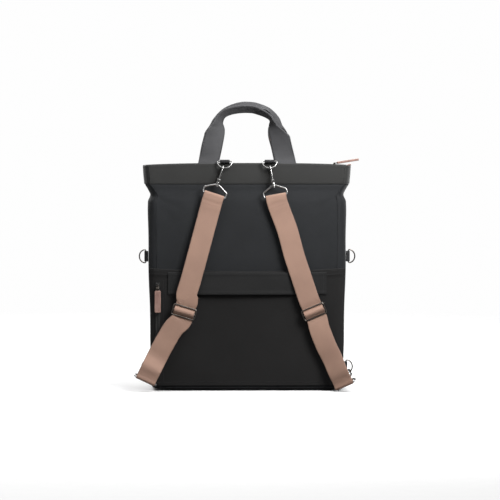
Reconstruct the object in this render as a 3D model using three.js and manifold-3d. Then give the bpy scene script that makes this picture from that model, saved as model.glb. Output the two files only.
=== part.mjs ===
import * as THREE from 'three';
import { mergeVertices } from 'three/addons/utils/BufferGeometryUtils.js';
import Module from 'manifold-3d';

// A convertible backpack standing on its base, in millimetres, with +Z up.
// The wearer's side, with the shoulder straps, faces -Y. The origin is the centre of the base.

// Bag
const bag_width = 367.4;
const bag_depth = 120;
const body_height = 380.7;
const band_height = 37.3;
const band_sag = 3.5;
const fabric = 2;
const base_round_wide = 26;
const base_round_deep = 10;
const base_round_high = 10;
const gap = 0.3;

// Lower pocket and luggage strap
const pocket_top = 226;
const pocket_sag = 6;
const pocket_fabric = 1.8;
const trolley_top = 219;
const trolley_height = 41;
const trolley_width = 292;
const trolley_bow = 6.4;
const trolley_sewn = 14;
const trolley_fabric = 1.6;

// Webbing of the straps, handles and tabs
const webbing_width = 38;
const webbing = 1.6;
const handle_webbing = 1.6;
const lining = 1;
const lining_width = 34;
const lining_taper = 0.86;
const tab_webbing = 1.4;
const top_tab_width = 18.2;
const side_tab_width = 19.4;
const leg_depth = 18;

// Handles
const handle_inside = 101.6;
const handle_rise = 94.7;
const far_handle_extra = 6.8;
const handle_lean = 10;
const grip_tip = -45;
const fold_radius = 1.1;

// Rings
const top_ring_spread = 82.6;
const top_ring_radius = 13.2;
const top_ring_wire = 1.3;
const top_ring_rise = 5;
const top_ring_ahead = 5.4;
const top_ring_tilt = 20;
const side_ring_radius = 12;
const side_ring_wire = 1.15;
const side_ring_reach = 4.6;
const side_ring_ahead = 41;
const upper_ring_height = 247.8;
const low_ring_height = 43;
const low_ring_slip = 56;
const top_ring_slip = { left: 16, right: 6 };
const ring_shoulder = 1.6;

// Snap hooks and their strap loops
const hook_wire = 1.8;
const hook_bow = 5.2;
const hook_height = 29;
const collar_radius = 3.6;
const collar_height = 3.8;
const neck_radius = 1.35;
const neck_hole = 1.75;
const neck_length = 4.3;
const head_radius = 2.5;
const head_height = 1.4;
const fork_thick = 5.4;
const slot_thick = 3.6;
const gate_wire = 1.35;
const gate_barrel = 1.8;
const gate_hole = 1.0;
const gate_pin = 0.7;
const gate_clearance = 0.45;
const hook_play = 0.5;
const loop_wire = 1.6;
const loop_height = 19.5;
const loop_shoulder = 9.5;
const loop_play = 0.9;
const top_hook_lean = { left: 18, right: 11 };
const top_hook_pitch = 8;
const low_hook_lean = { left: 3.5, right: 14 };
const low_hook_pitch = { left: 12, right: 24 };

// Strap slides
const slide_height = 22;
const slide_wire = 1.3;
const slide_play = 1.2;
const slide_ahead = 1.4;
const strap_fold = 22;
const strap_lead = 12;
const slide_lead = 16;
const slide_lean = { left: 17, right: 23 };

// Zips
const coil_width = 8;
const coil_thick = 1.4;
const tape_thick = 1.2;
const tape_recess = 7;
const tape_crown = 2.5;
const tape_clear = 4.3;
const top_slider_place = 163;
const slider_length = 12;
const slider_width = 9;
const slider_thick = 3;
const ear_height = 3.8;
const pull_width = 11.6;
const pull_thick = 4;
const top_pull_length = 46;
const pocket_pull_length = 45;
const top_pull_rise = 9;
const eye_radius = 1.7;
const eye_hole = 1.0;
const eye_pin = 0.7;
const eye_width = 4;
const pocket_zip_place = 165;
const pocket_zip_top = 200;
const pocket_zip_length = 130;
const pocket_slider_drop = 4;
const end_tab_start = 171.5;
const end_tab_width = 12;
const end_tab_thick = 2;

// Facets
const long_steps = 8;
const short_steps = 3;
const turn_steps = 5;
const wire_sides = 8;
const handle_steps = 46;

const half_width = bag_width / 2;
const half_depth = bag_depth / 2;
const mouth_height = body_height + gap + band_height;

// Plan sections of the body. up is a share of the body's height, wide and turn_x are shares of half
// the bag's width, deep and turn_y of half its depth. The gusset folds in below the band.
const body_rows = [
  { up: 0.026, wide: 0.964, deep: 1.0, turn_x: 0.087, turn_y: 0.267 },
  { up: 0.16, wide: 0.972, deep: 1.0, turn_x: 0.087, turn_y: 0.267 },
  { up: 0.44, wide: 0.983, deep: 1.0, turn_x: 0.087, turn_y: 0.267 },
  { up: 0.62, wide: 0.992, deep: 1.0, turn_x: 0.087, turn_y: 0.267 },
  { up: 0.74, wide: 0.996, deep: 0.965, turn_x: 0.087, turn_y: 0.3 },
  { up: 0.84, wide: 0.999, deep: 0.92, turn_x: 0.09, turn_y: 0.36 },
  { up: 0.914, wide: 1.0, deep: 0.87, turn_x: 0.09, turn_y: 0.45 },
  { up: 0.948, wide: 0.977, deep: 0.82, turn_x: 0.08, turn_y: 0.6 },
  { up: 0.972, wide: 1.0, deep: 0.785, turn_x: 0.072, turn_y: 0.7 },
  { up: 1.0, wide: 1.036, deep: 0.767, turn_x: 0.068, turn_y: 0.74 },
];

// The band's two sections, up as a share of its own height.
const band_rows = [
  { up: 0, wide: 1.038, deep: 0.767, turn_x: 0.068, turn_y: 0.74 },
  { up: 1, wide: 1.053, deep: 0.767, turn_x: 0.068, turn_y: 0.74 },
];

// Inner edge of each handle leg's webbing, from the bag to the middle of the grip. up is a share of the
// rise, across of half the span inside, front the share of the width that stays on the outer face while
// the rest folds behind it, tip a share of the grip's tilt, and turn how far the width climbs, in degrees.
const handle_rows = {
  near_left: [
    { up: -0.18, across: 1.1, front: 1, tip: 0, turn: 5 },
    { up: 0.05, across: 1.01, front: 1, tip: 0, turn: 6 },
    { up: 0.29, across: 0.912, front: 1, tip: 0.2, turn: 7 },
    { up: 0.5, across: 0.838, front: 0.94, tip: 0.35, turn: 9 },
    { up: 0.6, across: 0.812, front: 0.85, tip: 0.45, turn: 11 },
    { up: 0.69, across: 0.815, front: 0.7, tip: 0.55, turn: 12 },
    { up: 0.755, across: 0.855, front: 0.56, tip: 0.75, turn: 15 },
    { up: 0.8, across: 0.884, front: 0.47, tip: 0.9, turn: 22 },
    { up: 0.86, across: 0.87, front: 0.44, tip: 1, turn: 34 },
    { up: 0.91, across: 0.78, front: 0.44, tip: 1, turn: 47 },
    { up: 0.955, across: 0.6, front: 0.44, tip: 1, turn: 62 },
    { up: 0.99, across: 0.25, front: 0.44, tip: 1, turn: 79 },
  ],
  near_right: [
    { up: -0.18, across: 1.1, front: 1, tip: 0, turn: 5 },
    { up: 0.05, across: 1.01, front: 1, tip: 0, turn: 6 },
    { up: 0.29, across: 0.905, front: 1, tip: 0.2, turn: 7 },
    { up: 0.48, across: 0.84, front: 0.94, tip: 0.35, turn: 9 },
    { up: 0.575, across: 0.805, front: 0.77, tip: 0.45, turn: 11 },
    { up: 0.65, across: 0.788, front: 0.59, tip: 0.6, turn: 14 },
    { up: 0.715, across: 0.785, front: 0.46, tip: 0.85, turn: 20 },
    { up: 0.78, across: 0.805, front: 0.44, tip: 1.3, turn: 32 },
    { up: 0.845, across: 0.822, front: 0.44, tip: 1.6, turn: 46 },
    { up: 0.905, across: 0.67, front: 0.44, tip: 1.42, turn: 58 },
    { up: 0.955, across: 0.42, front: 0.44, tip: 1.2, turn: 69 },
    { up: 0.99, across: 0.17, front: 0.44, tip: 1.03, turn: 81 },
  ],
  far_left: [
    { up: -0.18, across: 1.1, front: 1, tip: 0, turn: 5 },
    { up: 0.05, across: 1.01, front: 1, tip: 0, turn: 6 },
    { up: 0.29, across: 0.925, front: 1, tip: 0.15, turn: 7 },
    { up: 0.47, across: 0.845, front: 0.97, tip: 0.3, turn: 8 },
    { up: 0.56, across: 0.82, front: 0.89, tip: 0.4, turn: 9 },
    { up: 0.65, across: 0.82, front: 0.73, tip: 0.5, turn: 12 },
    { up: 0.73, across: 0.865, front: 0.57, tip: 0.65, turn: 19 },
    { up: 0.81, across: 0.83, front: 0.46, tip: 0.8, turn: 34 },
    { up: 0.87, across: 0.74, front: 0.44, tip: 0.9, turn: 48 },
    { up: 0.92, across: 0.6, front: 0.44, tip: 0.95, turn: 60 },
    { up: 0.965, across: 0.4, front: 0.44, tip: 1, turn: 72 },
    { up: 0.995, across: 0.15, front: 0.44, tip: 1, turn: 83 },
  ],
  far_right: [
    { up: -0.18, across: 1.1, front: 1, tip: 0, turn: 5 },
    { up: 0.05, across: 1.01, front: 1, tip: 0, turn: 6 },
    { up: 0.29, across: 0.905, front: 1, tip: 0.15, turn: 7 },
    { up: 0.47, across: 0.81, front: 0.97, tip: 0.3, turn: 8 },
    { up: 0.56, across: 0.79, front: 0.89, tip: 0.4, turn: 9 },
    { up: 0.65, across: 0.8, front: 0.72, tip: 0.5, turn: 12 },
    { up: 0.735, across: 0.86, front: 0.57, tip: 0.65, turn: 19 },
    { up: 0.82, across: 0.918, front: 0.46, tip: 1.15, turn: 36 },
    { up: 0.9, across: 0.86, front: 0.44, tip: 1.45, turn: 48 },
    { up: 0.965, across: 0.72, front: 0.44, tip: 1.55, turn: 59 },
    { up: 0.99, across: 0.48, front: 0.44, tip: 1.35, turn: 72 },
    { up: 1.0, across: 0.2, front: 0.44, tip: 1.08, turn: 84 },
  ],
};

// Middle line of the shoulder straps. up is a share of the mouth's height, left and right are shares of
// half the bag's width, ahead of half its depth.
const strap_rows = [
  { up: 0.71, left: 0.431, right: 0.4, ahead: 1.165 },
  { up: 0.603, left: 0.496, right: 0.466, ahead: 1.215 },
  { up: 0.497, left: 0.562, right: 0.545, ahead: 1.25 },
  { up: 0.416, left: 0.61, right: 0.606, ahead: 1.26 },
  { up: 0.282, left: 0.735, right: 0.718, ahead: 1.265 },
  { up: 0.2, left: 0.848, right: 0.79, ahead: 1.29 },
  { up: 0.148, left: 0.91, right: 0.848, ahead: 1.33 },
];

// Where the slide sits on a strap, in the same shares.
const slide_row = { up: 0.351, left: 0.634, right: 0.667, ahead: 1.265 };

// Where a top tab's inner ply bends over the band's edge to its ring, seen from the side. ahead is
// measured towards the wearer from the outer face of the band, up from the mouth.
const tab_rows = [
  { ahead: -4.3, up: 2.4 },
  { ahead: -1.4, up: 4.8 },
];

const black_webbing = { color: 0x3a3a3c, roughness: 0.85, metalness: 0 };
const body_fabric = { color: 0x2c2e31, roughness: 0.9, metalness: 0 };
const band_fabric = { color: 0x38393b, roughness: 0.85, metalness: 0 };
const pocket_cloth = { color: 0x242424, roughness: 0.9, metalness: 0 };
const blush_webbing = { color: 0xb48c7c, roughness: 0.8, metalness: 0 };
const blush_leather = { color: 0x9c7868, roughness: 0.6, metalness: 0 };
const bright_metal = { color: 0xc8c8c8, roughness: 0.25, metalness: 1 };
const dark_metal = { color: 0x4a4644, roughness: 0.35, metalness: 1 };

const wasm = await Module();
wasm.setup();

const group = new THREE.Group();
const up_axis = new THREE.Vector3(0, 0, 1);
const depth_axis = new THREE.Vector3(0, 1, 0);
const width_axis = new THREE.Vector3(1, 0, 0);

function v(x, y, z) {
  return new THREE.Vector3(x, y, z);
}

function radians(degrees) {
  return THREE.MathUtils.degToRad(degrees);
}

function add(name, geometry, look, parent = group) {
  const mesh = new THREE.Mesh(geometry, new THREE.MeshStandardMaterial(look));
  mesh.name = name;
  parent.add(mesh);
  return mesh;
}

// A closed solid through rings of equal count. A loop joins the last ring to the first. The end caps are
// fans, or quads between the two faces of a paired ring (front points, then back points reversed). The two
// faces of a paired ring are split along matching diagonals, so a twist keeps its thickness.
function skin(rings, loop = false, paired = false) {
  const count = rings[0].length;
  const positions = rings.flat().flatMap((p) => [p.x, p.y, p.z]);
  const faces = [];
  const spans = loop ? rings.length : rings.length - 1;
  for (let i = 0; i < spans; i += 1) {
    const from = i * count;
    const to = ((i + 1) % rings.length) * count;
    for (let j = 0; j < count; j += 1) {
      const k = (j + 1) % count;
      if (paired && j >= count / 2) {
        faces.push([from + j, from + k, to + j], [from + k, to + k, to + j]);
      } else {
        faces.push([from + j, from + k, to + k], [from + j, to + k, to + j]);
      }
    }
  }
  if (!loop) {
    for (const [ring, turned] of [[0, true], [rings.length - 1, false]]) {
      const cap = paired ? pairedCap(count) : fanCap(count, positions, rings[ring], ring * count);
      for (const face of cap) {
        const placed = paired ? face.map((index) => index + ring * count) : face;
        faces.push(turned ? placed.reverse() : placed);
      }
    }
  }
  return closed(positions, faces);
}

function pairedCap(count) {
  const faces = [];
  for (let i = 0; i < count / 2 - 1; i += 1) {
    faces.push([i, i + 1, count - 2 - i], [i, count - 2 - i, count - 1 - i]);
  }
  return faces;
}

function fanCap(count, positions, ring, start) {
  const middle = ring.reduce((sum, p) => sum.add(p), v(0, 0, 0)).divideScalar(count);
  const hub = positions.length / 3;
  positions.push(middle.x, middle.y, middle.z);
  const faces = [];
  for (let j = 0; j < count; j += 1) {
    faces.push([hub, start + j, start + ((j + 1) % count)]);
  }
  return faces;
}

// An indexed geometry whose faces point out, whichever way round the rings were given.
function closed(positions, faces) {
  const point = (index) => v(...positions.slice(index * 3, index * 3 + 3));
  let volume = 0;
  for (const [a, b, c] of faces) {
    volume += point(a).dot(point(b).cross(point(c)));
  }
  const outward = volume < 0 ? faces.map(([a, b, c]) => [a, c, b]) : faces;
  const geometry = new THREE.BufferGeometry();
  geometry.setAttribute('position', new THREE.Float32BufferAttribute(positions, 3));
  geometry.setIndex(outward.flat());
  geometry.computeVertexNormals();
  return geometry;
}

function solidOf(geometry) {
  const bare = geometry.clone();
  bare.deleteAttribute('normal');
  bare.deleteAttribute('uv');
  const merged = mergeVertices(bare, 1e-4);
  const vertProperties = new Float32Array(merged.attributes.position.array);
  const triVerts = new Uint32Array(merged.index.array);
  return new wasm.Manifold(new wasm.Mesh({ numProp: 3, vertProperties, triVerts }));
}

function geometryOf(solid) {
  const mesh = solid.getMesh();
  const geometry = new THREE.BufferGeometry();
  geometry.setAttribute('position', new THREE.Float32BufferAttribute(mesh.vertProperties, 3));
  geometry.setIndex([...mesh.triVerts]);
  geometry.computeVertexNormals();
  return geometry;
}

function joined(geometries) {
  return geometries.map(solidOf).reduce((whole, piece) => whole.add(piece));
}

// Corners of a polygon replaced by short curves. Each corner is cut back by the same length.
function rounded(corners, cut, steps, loop = true) {
  const points = [];
  corners.forEach((corner, i) => {
    if (!loop && (i === 0 || i === corners.length - 1)) {
      points.push(corner.clone());
      return;
    }
    const before = corners[(i + corners.length - 1) % corners.length].clone().sub(corner).setLength(cut);
    const after = corners[(i + 1) % corners.length].clone().sub(corner).setLength(cut);
    const bend = new THREE.QuadraticBezierCurve3(before.add(corner), corner, after.add(corner));
    points.push(...bend.getPoints(steps));
  });
  return points;
}

function directions(points, loop) {
  const count = points.length;
  return points.map((point, i) => {
    const next = loop ? points[(i + 1) % count] : points[Math.min(i + 1, count - 1)];
    const last = loop ? points[(i + count - 1) % count] : points[Math.max(i - 1, 0)];
    return next.clone().sub(last).normalize();
  });
}

// A round wire along points that lie in one plane, whose normal is flat.
function wire(points, radius, flat, loop = false, sides = wire_sides) {
  const along = directions(points, loop);
  const rings = points.map((point, i) => {
    const side = flat.clone().cross(along[i]).normalize();
    return Array.from({ length: sides }, (unused, j) => {
      const angle = ((j + 0.5) / sides) * 2 * Math.PI;
      const out = side.clone().multiplyScalar(radius * Math.cos(angle));
      return out.addScaledVector(flat, radius * Math.sin(angle)).add(point);
    });
  });
  return skin(rings, loop);
}

// Flat webbing through stations that each hold a point, the direction across and the face's normal.
function ribbon(stations, width, thick) {
  const rings = stations.map(({ point, across, normal }) => [[-1, 1], [1, 1], [1, -1], [-1, -1]].map(
    ([side, face]) => point.clone().addScaledVector(across, (side * width) / 2)
      .addScaledVector(normal, (face * thick) / 2)));
  return skin(rings, false, true);
}

// Webbing whose middle line lies in a plane and whose width stands square to it.
function tongue(points, across, width, thick) {
  const along = directions(points, false);
  const stations = points.map((point, i) => {
    const normal = along[i].clone().cross(across).normalize();
    return { point, across, normal };
  });
  return ribbon(stations, width, thick);
}

function cylinder(radius, length, axis, centre, sides = 12) {
  const geometry = new THREE.CylinderGeometry(radius, radius, length, sides);
  geometry.applyQuaternion(new THREE.Quaternion().setFromUnitVectors(depth_axis, axis));
  geometry.translate(centre.x, centre.y, centre.z);
  return geometry;
}

function box(low, high) {
  const size = high.clone().sub(low);
  const middle = high.clone().add(low).multiplyScalar(0.5);
  return new THREE.BoxGeometry(size.x, size.y, size.z).translate(middle.x, middle.y, middle.z);
}

function interpolate(rows, up, columns) {
  const last = rows.length - 2;
  const found = rows.findIndex((row, i) => i > 0 && row.up >= up) - 1;
  const i = found < 0 ? (up <= rows[0].up ? 0 : last) : found;
  const share = (up - rows[i].up) / (rows[i + 1].up - rows[i].up);
  const bounded = THREE.MathUtils.clamp(share, 0, 1);
  return Object.fromEntries(columns.map((key) => [
    key, THREE.MathUtils.lerp(rows[i][key], rows[i + 1][key], bounded)]));
}

function sized(row) {
  return {
    wide: row.wide * half_width,
    deep: row.deep * half_depth,
    turn_x: row.turn_x * half_width,
    turn_y: row.turn_y * half_depth,
  };
}

function bodySection(height) {
  return sized(interpolate(body_rows, height / body_height, ['wide', 'deep', 'turn_x', 'turn_y']));
}

// Plan outline at one height, anticlockwise from the left end of the near side.
function outline(section, offset, height) {
  const wide = section.wide + offset;
  const deep = section.deep + offset;
  const turn_x = Math.max(section.turn_x + offset, 1);
  const turn_y = Math.max(section.turn_y + offset, 1);
  const points = [];
  const straight = (from, to, steps) => {
    for (let i = 0; i < steps; i += 1) {
      points.push(from.clone().lerp(to, i / steps));
    }
  };
  const turn = (x, y, start) => {
    for (let i = 0; i < turn_steps; i += 1) {
      const angle = start + (i / turn_steps) * (Math.PI / 2);
      points.push(v(x + turn_x * Math.cos(angle), y + turn_y * Math.sin(angle), height));
    }
  };
  const x = wide - turn_x;
  const y = deep - turn_y;
  straight(v(-x, -deep, height), v(x, -deep, height), long_steps);
  turn(x, -y, -Math.PI / 2);
  straight(v(wide, -y, height), v(wide, y, height), short_steps);
  turn(x, y, 0);
  straight(v(x, deep, height), v(-x, deep, height), long_steps);
  turn(-x, y, Math.PI / 2);
  straight(v(-wide, y, height), v(-wide, -y, height), short_steps);
  turn(-x, -y, Math.PI);
  return points;
}

function bodyShell() {
  const base = sized(body_rows[0]);
  const outer = [];
  const round_steps = 4;
  for (let i = 0; i < round_steps; i += 1) {
    const angle = (i / round_steps) * (Math.PI / 2);
    const inset = 1 - Math.sin(angle);
    const section = {
      ...base,
      wide: base.wide - base_round_wide * inset,
      deep: base.deep - base_round_deep * inset,
    };
    outer.push(outline(section, 0, base_round_high * (1 - Math.cos(angle))));
  }
  for (const row of body_rows) {
    outer.push(outline(sized(row), 0, row.up * body_height));
  }
  const floor = { ...base, wide: base.wide - base_round_wide / 2, deep: base.deep - base_round_deep / 2 };
  const inner = [outline(floor, -fabric, fabric)];
  for (const row of body_rows) {
    inner.push(outline(sized(row), -fabric, row.up * body_height));
  }
  return skin([...outer, ...inner.reverse()]);
}

// Height of the mouth's edge, which sinks towards the two ends.
function mouth(x) {
  return mouth_height - band_sag * Math.abs(x / (half_width * band_rows[1].wide)) ** 3;
}

function bandShell() {
  const [low, high] = band_rows.map(sized);
  const bottom = body_height + gap;
  const edge = (offset) => outline(high, offset, 0).map((p) => v(p.x, p.y, mouth(p.x)));
  return skin([
    outline(low, 0, bottom), edge(0), edge(-fabric), outline(low, -fabric, bottom),
  ], true);
}

// The lower pocket: a panel over the near side that turns a little way round both corners.
function pocketPanel() {
  const count = outline(bodySection(pocket_top), 0, 0).length;
  const around = turn_steps - 2;
  const order = [];
  for (let i = -around; i <= long_steps + around; i += 1) {
    order.push((i + count) % count);
  }
  const edge = (height, offset) => outline(bodySection(height), offset, height);
  const levels = [base_round_high, pocket_top / 2, pocket_top];
  const rings = order.map((index) => {
    const face = (offset) => levels.map((height, i) => {
      const point = edge(height, offset)[index];
      const dip = 1 - (point.x / half_width) ** 2;
      point.z -= i === levels.length - 1 ? pocket_sag * dip : 0;
      return point;
    });
    return [...face(gap + pocket_fabric), ...face(gap).reverse()];
  });
  return skin(rings, false, true);
}

const pocket_face = half_depth + gap + pocket_fabric;

// The luggage strap: flat where its two ends are sewn down, bowed off the pocket between them.
function trolleyBand() {
  const steps = 18;
  const height = trolley_top - trolley_height / 2;
  const flat = trolley_width / 2 - trolley_sewn;
  const points = [];
  for (let i = 0; i <= steps; i += 1) {
    const x = (i / steps - 0.5) * trolley_width;
    const share = Math.min(Math.abs(x) / flat, 1);
    const bow = trolley_bow * (1 - share ** 4) ** 1.5;
    points.push(v(x, -(pocket_face + gap + trolley_fabric / 2 + bow), height));
  }
  return tongue(points, up_axis, trolley_height, trolley_fabric);
}

// Handle webbing. The inner edge follows the rows and their mirror image, and at each station the
// section is a strip that folds back on itself past the crease.
function handleStations(side) {
  const name = side < 0 ? 'near' : 'far';
  const rise = side < 0 ? handle_rise : handle_rise + far_handle_extra;
  const half = handle_inside / 2;
  const leg = (end, way) => handle_rows[`${name}_${end}`].map((row) => ({
    ...row, across: way * row.across, turn: way < 0 ? 180 - row.turn : row.turn,
  }));
  const rows = [...leg('left', -1), ...leg('right', 1).reverse()];
  const curve = new THREE.CatmullRomCurve3(rows.map((row) => v(
    row.across * half, 0, mouth_height + row.up * rise)), false, 'centripetal');
  const shares = rows.length - 1;
  const stations = [];
  for (let i = 0; i <= handle_steps; i += 1) {
    const place = (i / handle_steps) * shares;
    const row = Math.min(Math.floor(place), shares - 1);
    const share = place - row;
    const blend = (key) => THREE.MathUtils.lerp(rows[row][key], rows[row + 1][key], share);
    const turn = radians(blend('turn'));
    stations.push({
      point: curve.getPoint(i / handle_steps),
      out: v(Math.cos(turn), 0, Math.sin(turn)),
      crease: blend('front') * webbing_width,
      tip: radians(grip_tip * blend('tip')),
    });
  }
  return stations;
}

function leanAt(height) {
  const share = Math.max((height - mouth_height) / handle_rise, 0);
  return handle_lean * share;
}

// Distance of the handle webbing's middle from the bag's middle plane, inside the near band.
const leg_place = band_rows[1].deep * half_depth - fabric - gap - handle_webbing / 2;

// Point of a handle, along the webbing's width from its inner edge and inward from its middle surface.
function handlePoint(side, station, along, inward) {
  const point = station.point.clone();
  point.addScaledVector(station.out, along * Math.cos(station.tip) - inward * Math.sin(station.tip));
  const tipped = along * Math.sin(station.tip) + inward * Math.cos(station.tip);
  point.y = side * (leg_place - leanAt(station.point.z) - tipped);
  return point;
}

function handle(side) {
  const cells = 8;
  const rings = handleStations(side).map((station) => {
    const face = (offset) => Array.from({ length: cells + 1 }, (unused, i) => {
      const run = (i / cells) * webbing_width;
      const past = Math.max(run - station.crease, 0);
      const angle = Math.min(past / fold_radius, Math.PI);
      const flat = Math.max(past - fold_radius * Math.PI, 0);
      const along = Math.min(run, station.crease) + fold_radius * Math.sin(angle) - flat;
      const inward = fold_radius * (1 - Math.cos(angle));
      return handlePoint(side, station, along + offset * Math.sin(angle), inward - offset * Math.cos(angle));
    });
    return [...face(handle_webbing / 2), ...face(-handle_webbing / 2).reverse()];
  });
  return skin(rings, false, true);
}

// The lining on one leg: a thinner strip against the inner face, up to where the folded part covers it.
function legLining(side, end) {
  const cells = 6;
  const low = (webbing_width - lining_width) / 2;
  const stations = handleStations(side).filter((station) => (
    station.crease > webbing_width - Math.PI * fold_radius && Math.sign(station.point.x) === end));
  const near = handle_webbing / 2 + gap;
  return skin(stations.map((station) => {
    const open = station.crease > webbing_width - low / 3;
    const high = open ? low + lining_width : webbing_width * lining_taper;
    const face = (depth) => Array.from({ length: cells + 1 }, (unused, i) => (
      handlePoint(side, station, THREE.MathUtils.lerp(low, high, i / cells), depth)));
    return [...face(near), ...face(near + lining).reverse()];
  }), false, true);
}

// A D-ring in its own plane: a straight bar on the origin, along X, and a bow below it towards -Z.
function dRing(radius, thick) {
  const cut = ring_shoulder;
  const points = [v(-radius + cut, 0, 0), v(0, 0, 0), v(radius - cut, 0, 0)];
  const bow_steps = 14;
  for (let i = 0; i <= bow_steps; i += 1) {
    const angle = (i / bow_steps) * Math.PI;
    points.push(v(radius * Math.cos(angle), 0, -cut - (radius - cut) * Math.sin(angle)));
  }
  return wire(points, thick, depth_axis, true);
}

// Point on a D-ring's bow, given as an angle from its lowest point.
function bowPoint(radius, slip) {
  return v(radius * Math.sin(slip), 0, -ring_shoulder - (radius - ring_shoulder) * Math.cos(slip));
}

// Snap hook in its own frame: +Z runs from the swivel to the ring it holds, +X to the gate's side, and
// the hook lies in the XZ plane. The origin is the underside of the collar.
const fork_top = collar_height + 4.8;
const pivot = v(4.6, 0, collar_height + 2.9);
const ring_seat = hook_height + hook_bow - hook_wire;

function hookBody() {
  const bow_steps = 8;
  const spine = [v(-1.2, 0, collar_height + 1), v(-3.6, 0, fork_top - 1), v(-hook_bow, 0, fork_top + 4)];
  for (let i = 0; i <= bow_steps; i += 1) {
    const angle = Math.PI - (i / bow_steps) * Math.PI;
    spine.push(v(hook_bow * Math.cos(angle), 0, hook_height + hook_bow * Math.sin(angle)));
  }
  spine.push(v(hook_bow, 0, hook_height - 2));
  const inner_wall = pivot.x - gate_barrel - 1.4;
  const outer_wall = pivot.x + gate_barrel - 0.2;
  const half = fork_thick / 2;
  const fork = new THREE.ExtrudeGeometry(forkShape(outer_wall), { depth: fork_thick, bevelEnabled: false });
  fork.rotateX(Math.PI / 2).translate(0, half, 0);
  const profile = [
    [0, -neck_length - head_height], [head_radius, -neck_length - head_height],
    [head_radius, -neck_length], [neck_radius, -neck_length], [neck_radius, 0],
    [collar_radius, 0], [collar_radius, collar_height - 0.8], [collar_radius - 0.8, collar_height],
    [0, collar_height],
  ].map(([x, y]) => new THREE.Vector2(x, y));
  const collar = new THREE.LatheGeometry(profile, 12).rotateX(Math.PI / 2);
  const slot = box(v(inner_wall, -slot_thick / 2, collar_height + 0.5),
    v(outer_wall + 1, slot_thick / 2, fork_top + 1));
  const pin = cylinder(gate_pin, fork_thick - 0.4, depth_axis, pivot, 8);
  return geometryOf(joined([wire(spine, hook_wire, depth_axis), fork, collar])
    .subtract(solidOf(slot)).add(solidOf(pin)));
}

function forkShape(outer_wall) {
  const shape = new THREE.Shape();
  const low = collar_height - 0.6;
  shape.moveTo(-2.2, low);
  shape.lineTo(outer_wall - 2, low);
  shape.quadraticCurveTo(outer_wall, low, outer_wall, low + 2);
  shape.lineTo(outer_wall, fork_top - 1.2);
  shape.quadraticCurveTo(outer_wall, fork_top, outer_wall - 1.2, fork_top);
  shape.lineTo(-3.4, fork_top);
  shape.lineTo(-2.2, low);
  return shape;
}

// The gate, with its pivot on the origin.
function hookGate() {
  const tip = v(hook_bow, 0, hook_height - 2 - gate_clearance).sub(pivot);
  const points = [v(0.1, 0, 0), tip.clone().lerp(v(0, 0, 0), 0.5).add(v(0.35, 0, 0)), tip];
  const barrel = cylinder(gate_barrel, slot_thick - 2 * gap, depth_axis, v(0, 0, 0), 12);
  const hole = cylinder(gate_hole, fork_thick, depth_axis, v(0, 0, 0), 10);
  return geometryOf(joined([wire(points, gate_wire, depth_axis), barrel]).subtract(solidOf(hole)));
}

// The strap loop in the hook's frame, with its bar along X.
const loop_top = -gap - neck_length / 2;

function strapLoop() {
  const half = webbing_width / 2 + loop_play + loop_wire;
  const corners = [
    v(-half, 0, loop_top - loop_height), v(half, 0, loop_top - loop_height),
    v(half, 0, loop_top - loop_height + loop_shoulder), v(3, 0, loop_top), v(-3, 0, loop_top),
    v(-half, 0, loop_top - loop_height + loop_shoulder),
  ];
  const frame = wire(rounded(corners, 2.2, 2), loop_wire, depth_axis, true);
  const boss = cylinder(3.2, neck_length - 2 * gap, up_axis, v(0, 0, -neck_length / 2));
  const hole = cylinder(neck_hole, neck_length * 2, up_axis, v(0, 0, -neck_length / 2));
  return geometryOf(joined([frame, boss]).subtract(solidOf(hole)));
}

// A hook with its gate and strap loop. held is the middle of the ring's wire, axis points up the hook,
// flat is the normal of the hook's plane and bar the direction of the strap loop's bar.
function snapHook(name, held, wire_radius, axis, flat, bar) {
  const seat = ring_seat - wire_radius - hook_play;
  const origin = held.clone().addScaledVector(axis, -seat);
  const frame = new THREE.Group();
  const side = flat.clone().cross(axis);
  frame.quaternion.setFromRotationMatrix(new THREE.Matrix4().makeBasis(side, flat, axis));
  frame.position.copy(origin);
  group.add(frame);
  add(`${name}_hook`, hookBody(), bright_metal, frame);
  add(`${name}_gate`, hookGate(), bright_metal, frame).position.copy(pivot);
  const loop_frame = new THREE.Group();
  loop_frame.quaternion.setFromRotationMatrix(
    new THREE.Matrix4().makeBasis(bar, axis.clone().cross(bar), axis));
  loop_frame.position.copy(origin);
  group.add(loop_frame);
  add(`${name}_loop`, strapLoop(), bright_metal, loop_frame);
  return origin.addScaledVector(axis, loop_top - loop_height);
}

// Middle line of a strap: one curve from the top bar to the slide and one from there to the lower bar.
// Both run straight for a short way at each of their ends, so the hardware meets flat webbing.
function strapLine(side, top, top_way, low, low_way) {
  const column = side < 0 ? 'left' : 'right';
  const place = (row) => v(side * row[column] * half_width, -row.ahead * half_depth, row.up * mouth_height);
  const slide = place(slide_row);
  const lean = radians(slide_lean[column]);
  const slide_way = v(side * Math.sin(lean), 0, -Math.cos(lean));
  const along = (point, way, distance) => point.clone().addScaledVector(way, distance);
  const leads = [strap_lead, 2 * strap_lead];
  const part = (start, start_way, first, rows, end, end_way) => new THREE.CatmullRomCurve3([
    start, ...first.map((distance) => along(start, start_way, distance)), ...rows.map(place),
    along(end, end_way, -2 * strap_lead), along(end, end_way, -strap_lead), end,
  ], false, 'centripetal');
  const above = strap_rows.filter((row) => row.up > slide_row.up);
  const below = strap_rows.filter((row) => row.up < slide_row.up);
  const upper = part(top, top_way, leads, above, slide, slide_way);
  const lower = part(slide, slide_way, [slide_lead / 2, slide_lead], below, low, low_way);
  return { upper, lower, slide: upper.getLength(), length: upper.getLength() + lower.getLength() };
}

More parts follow.
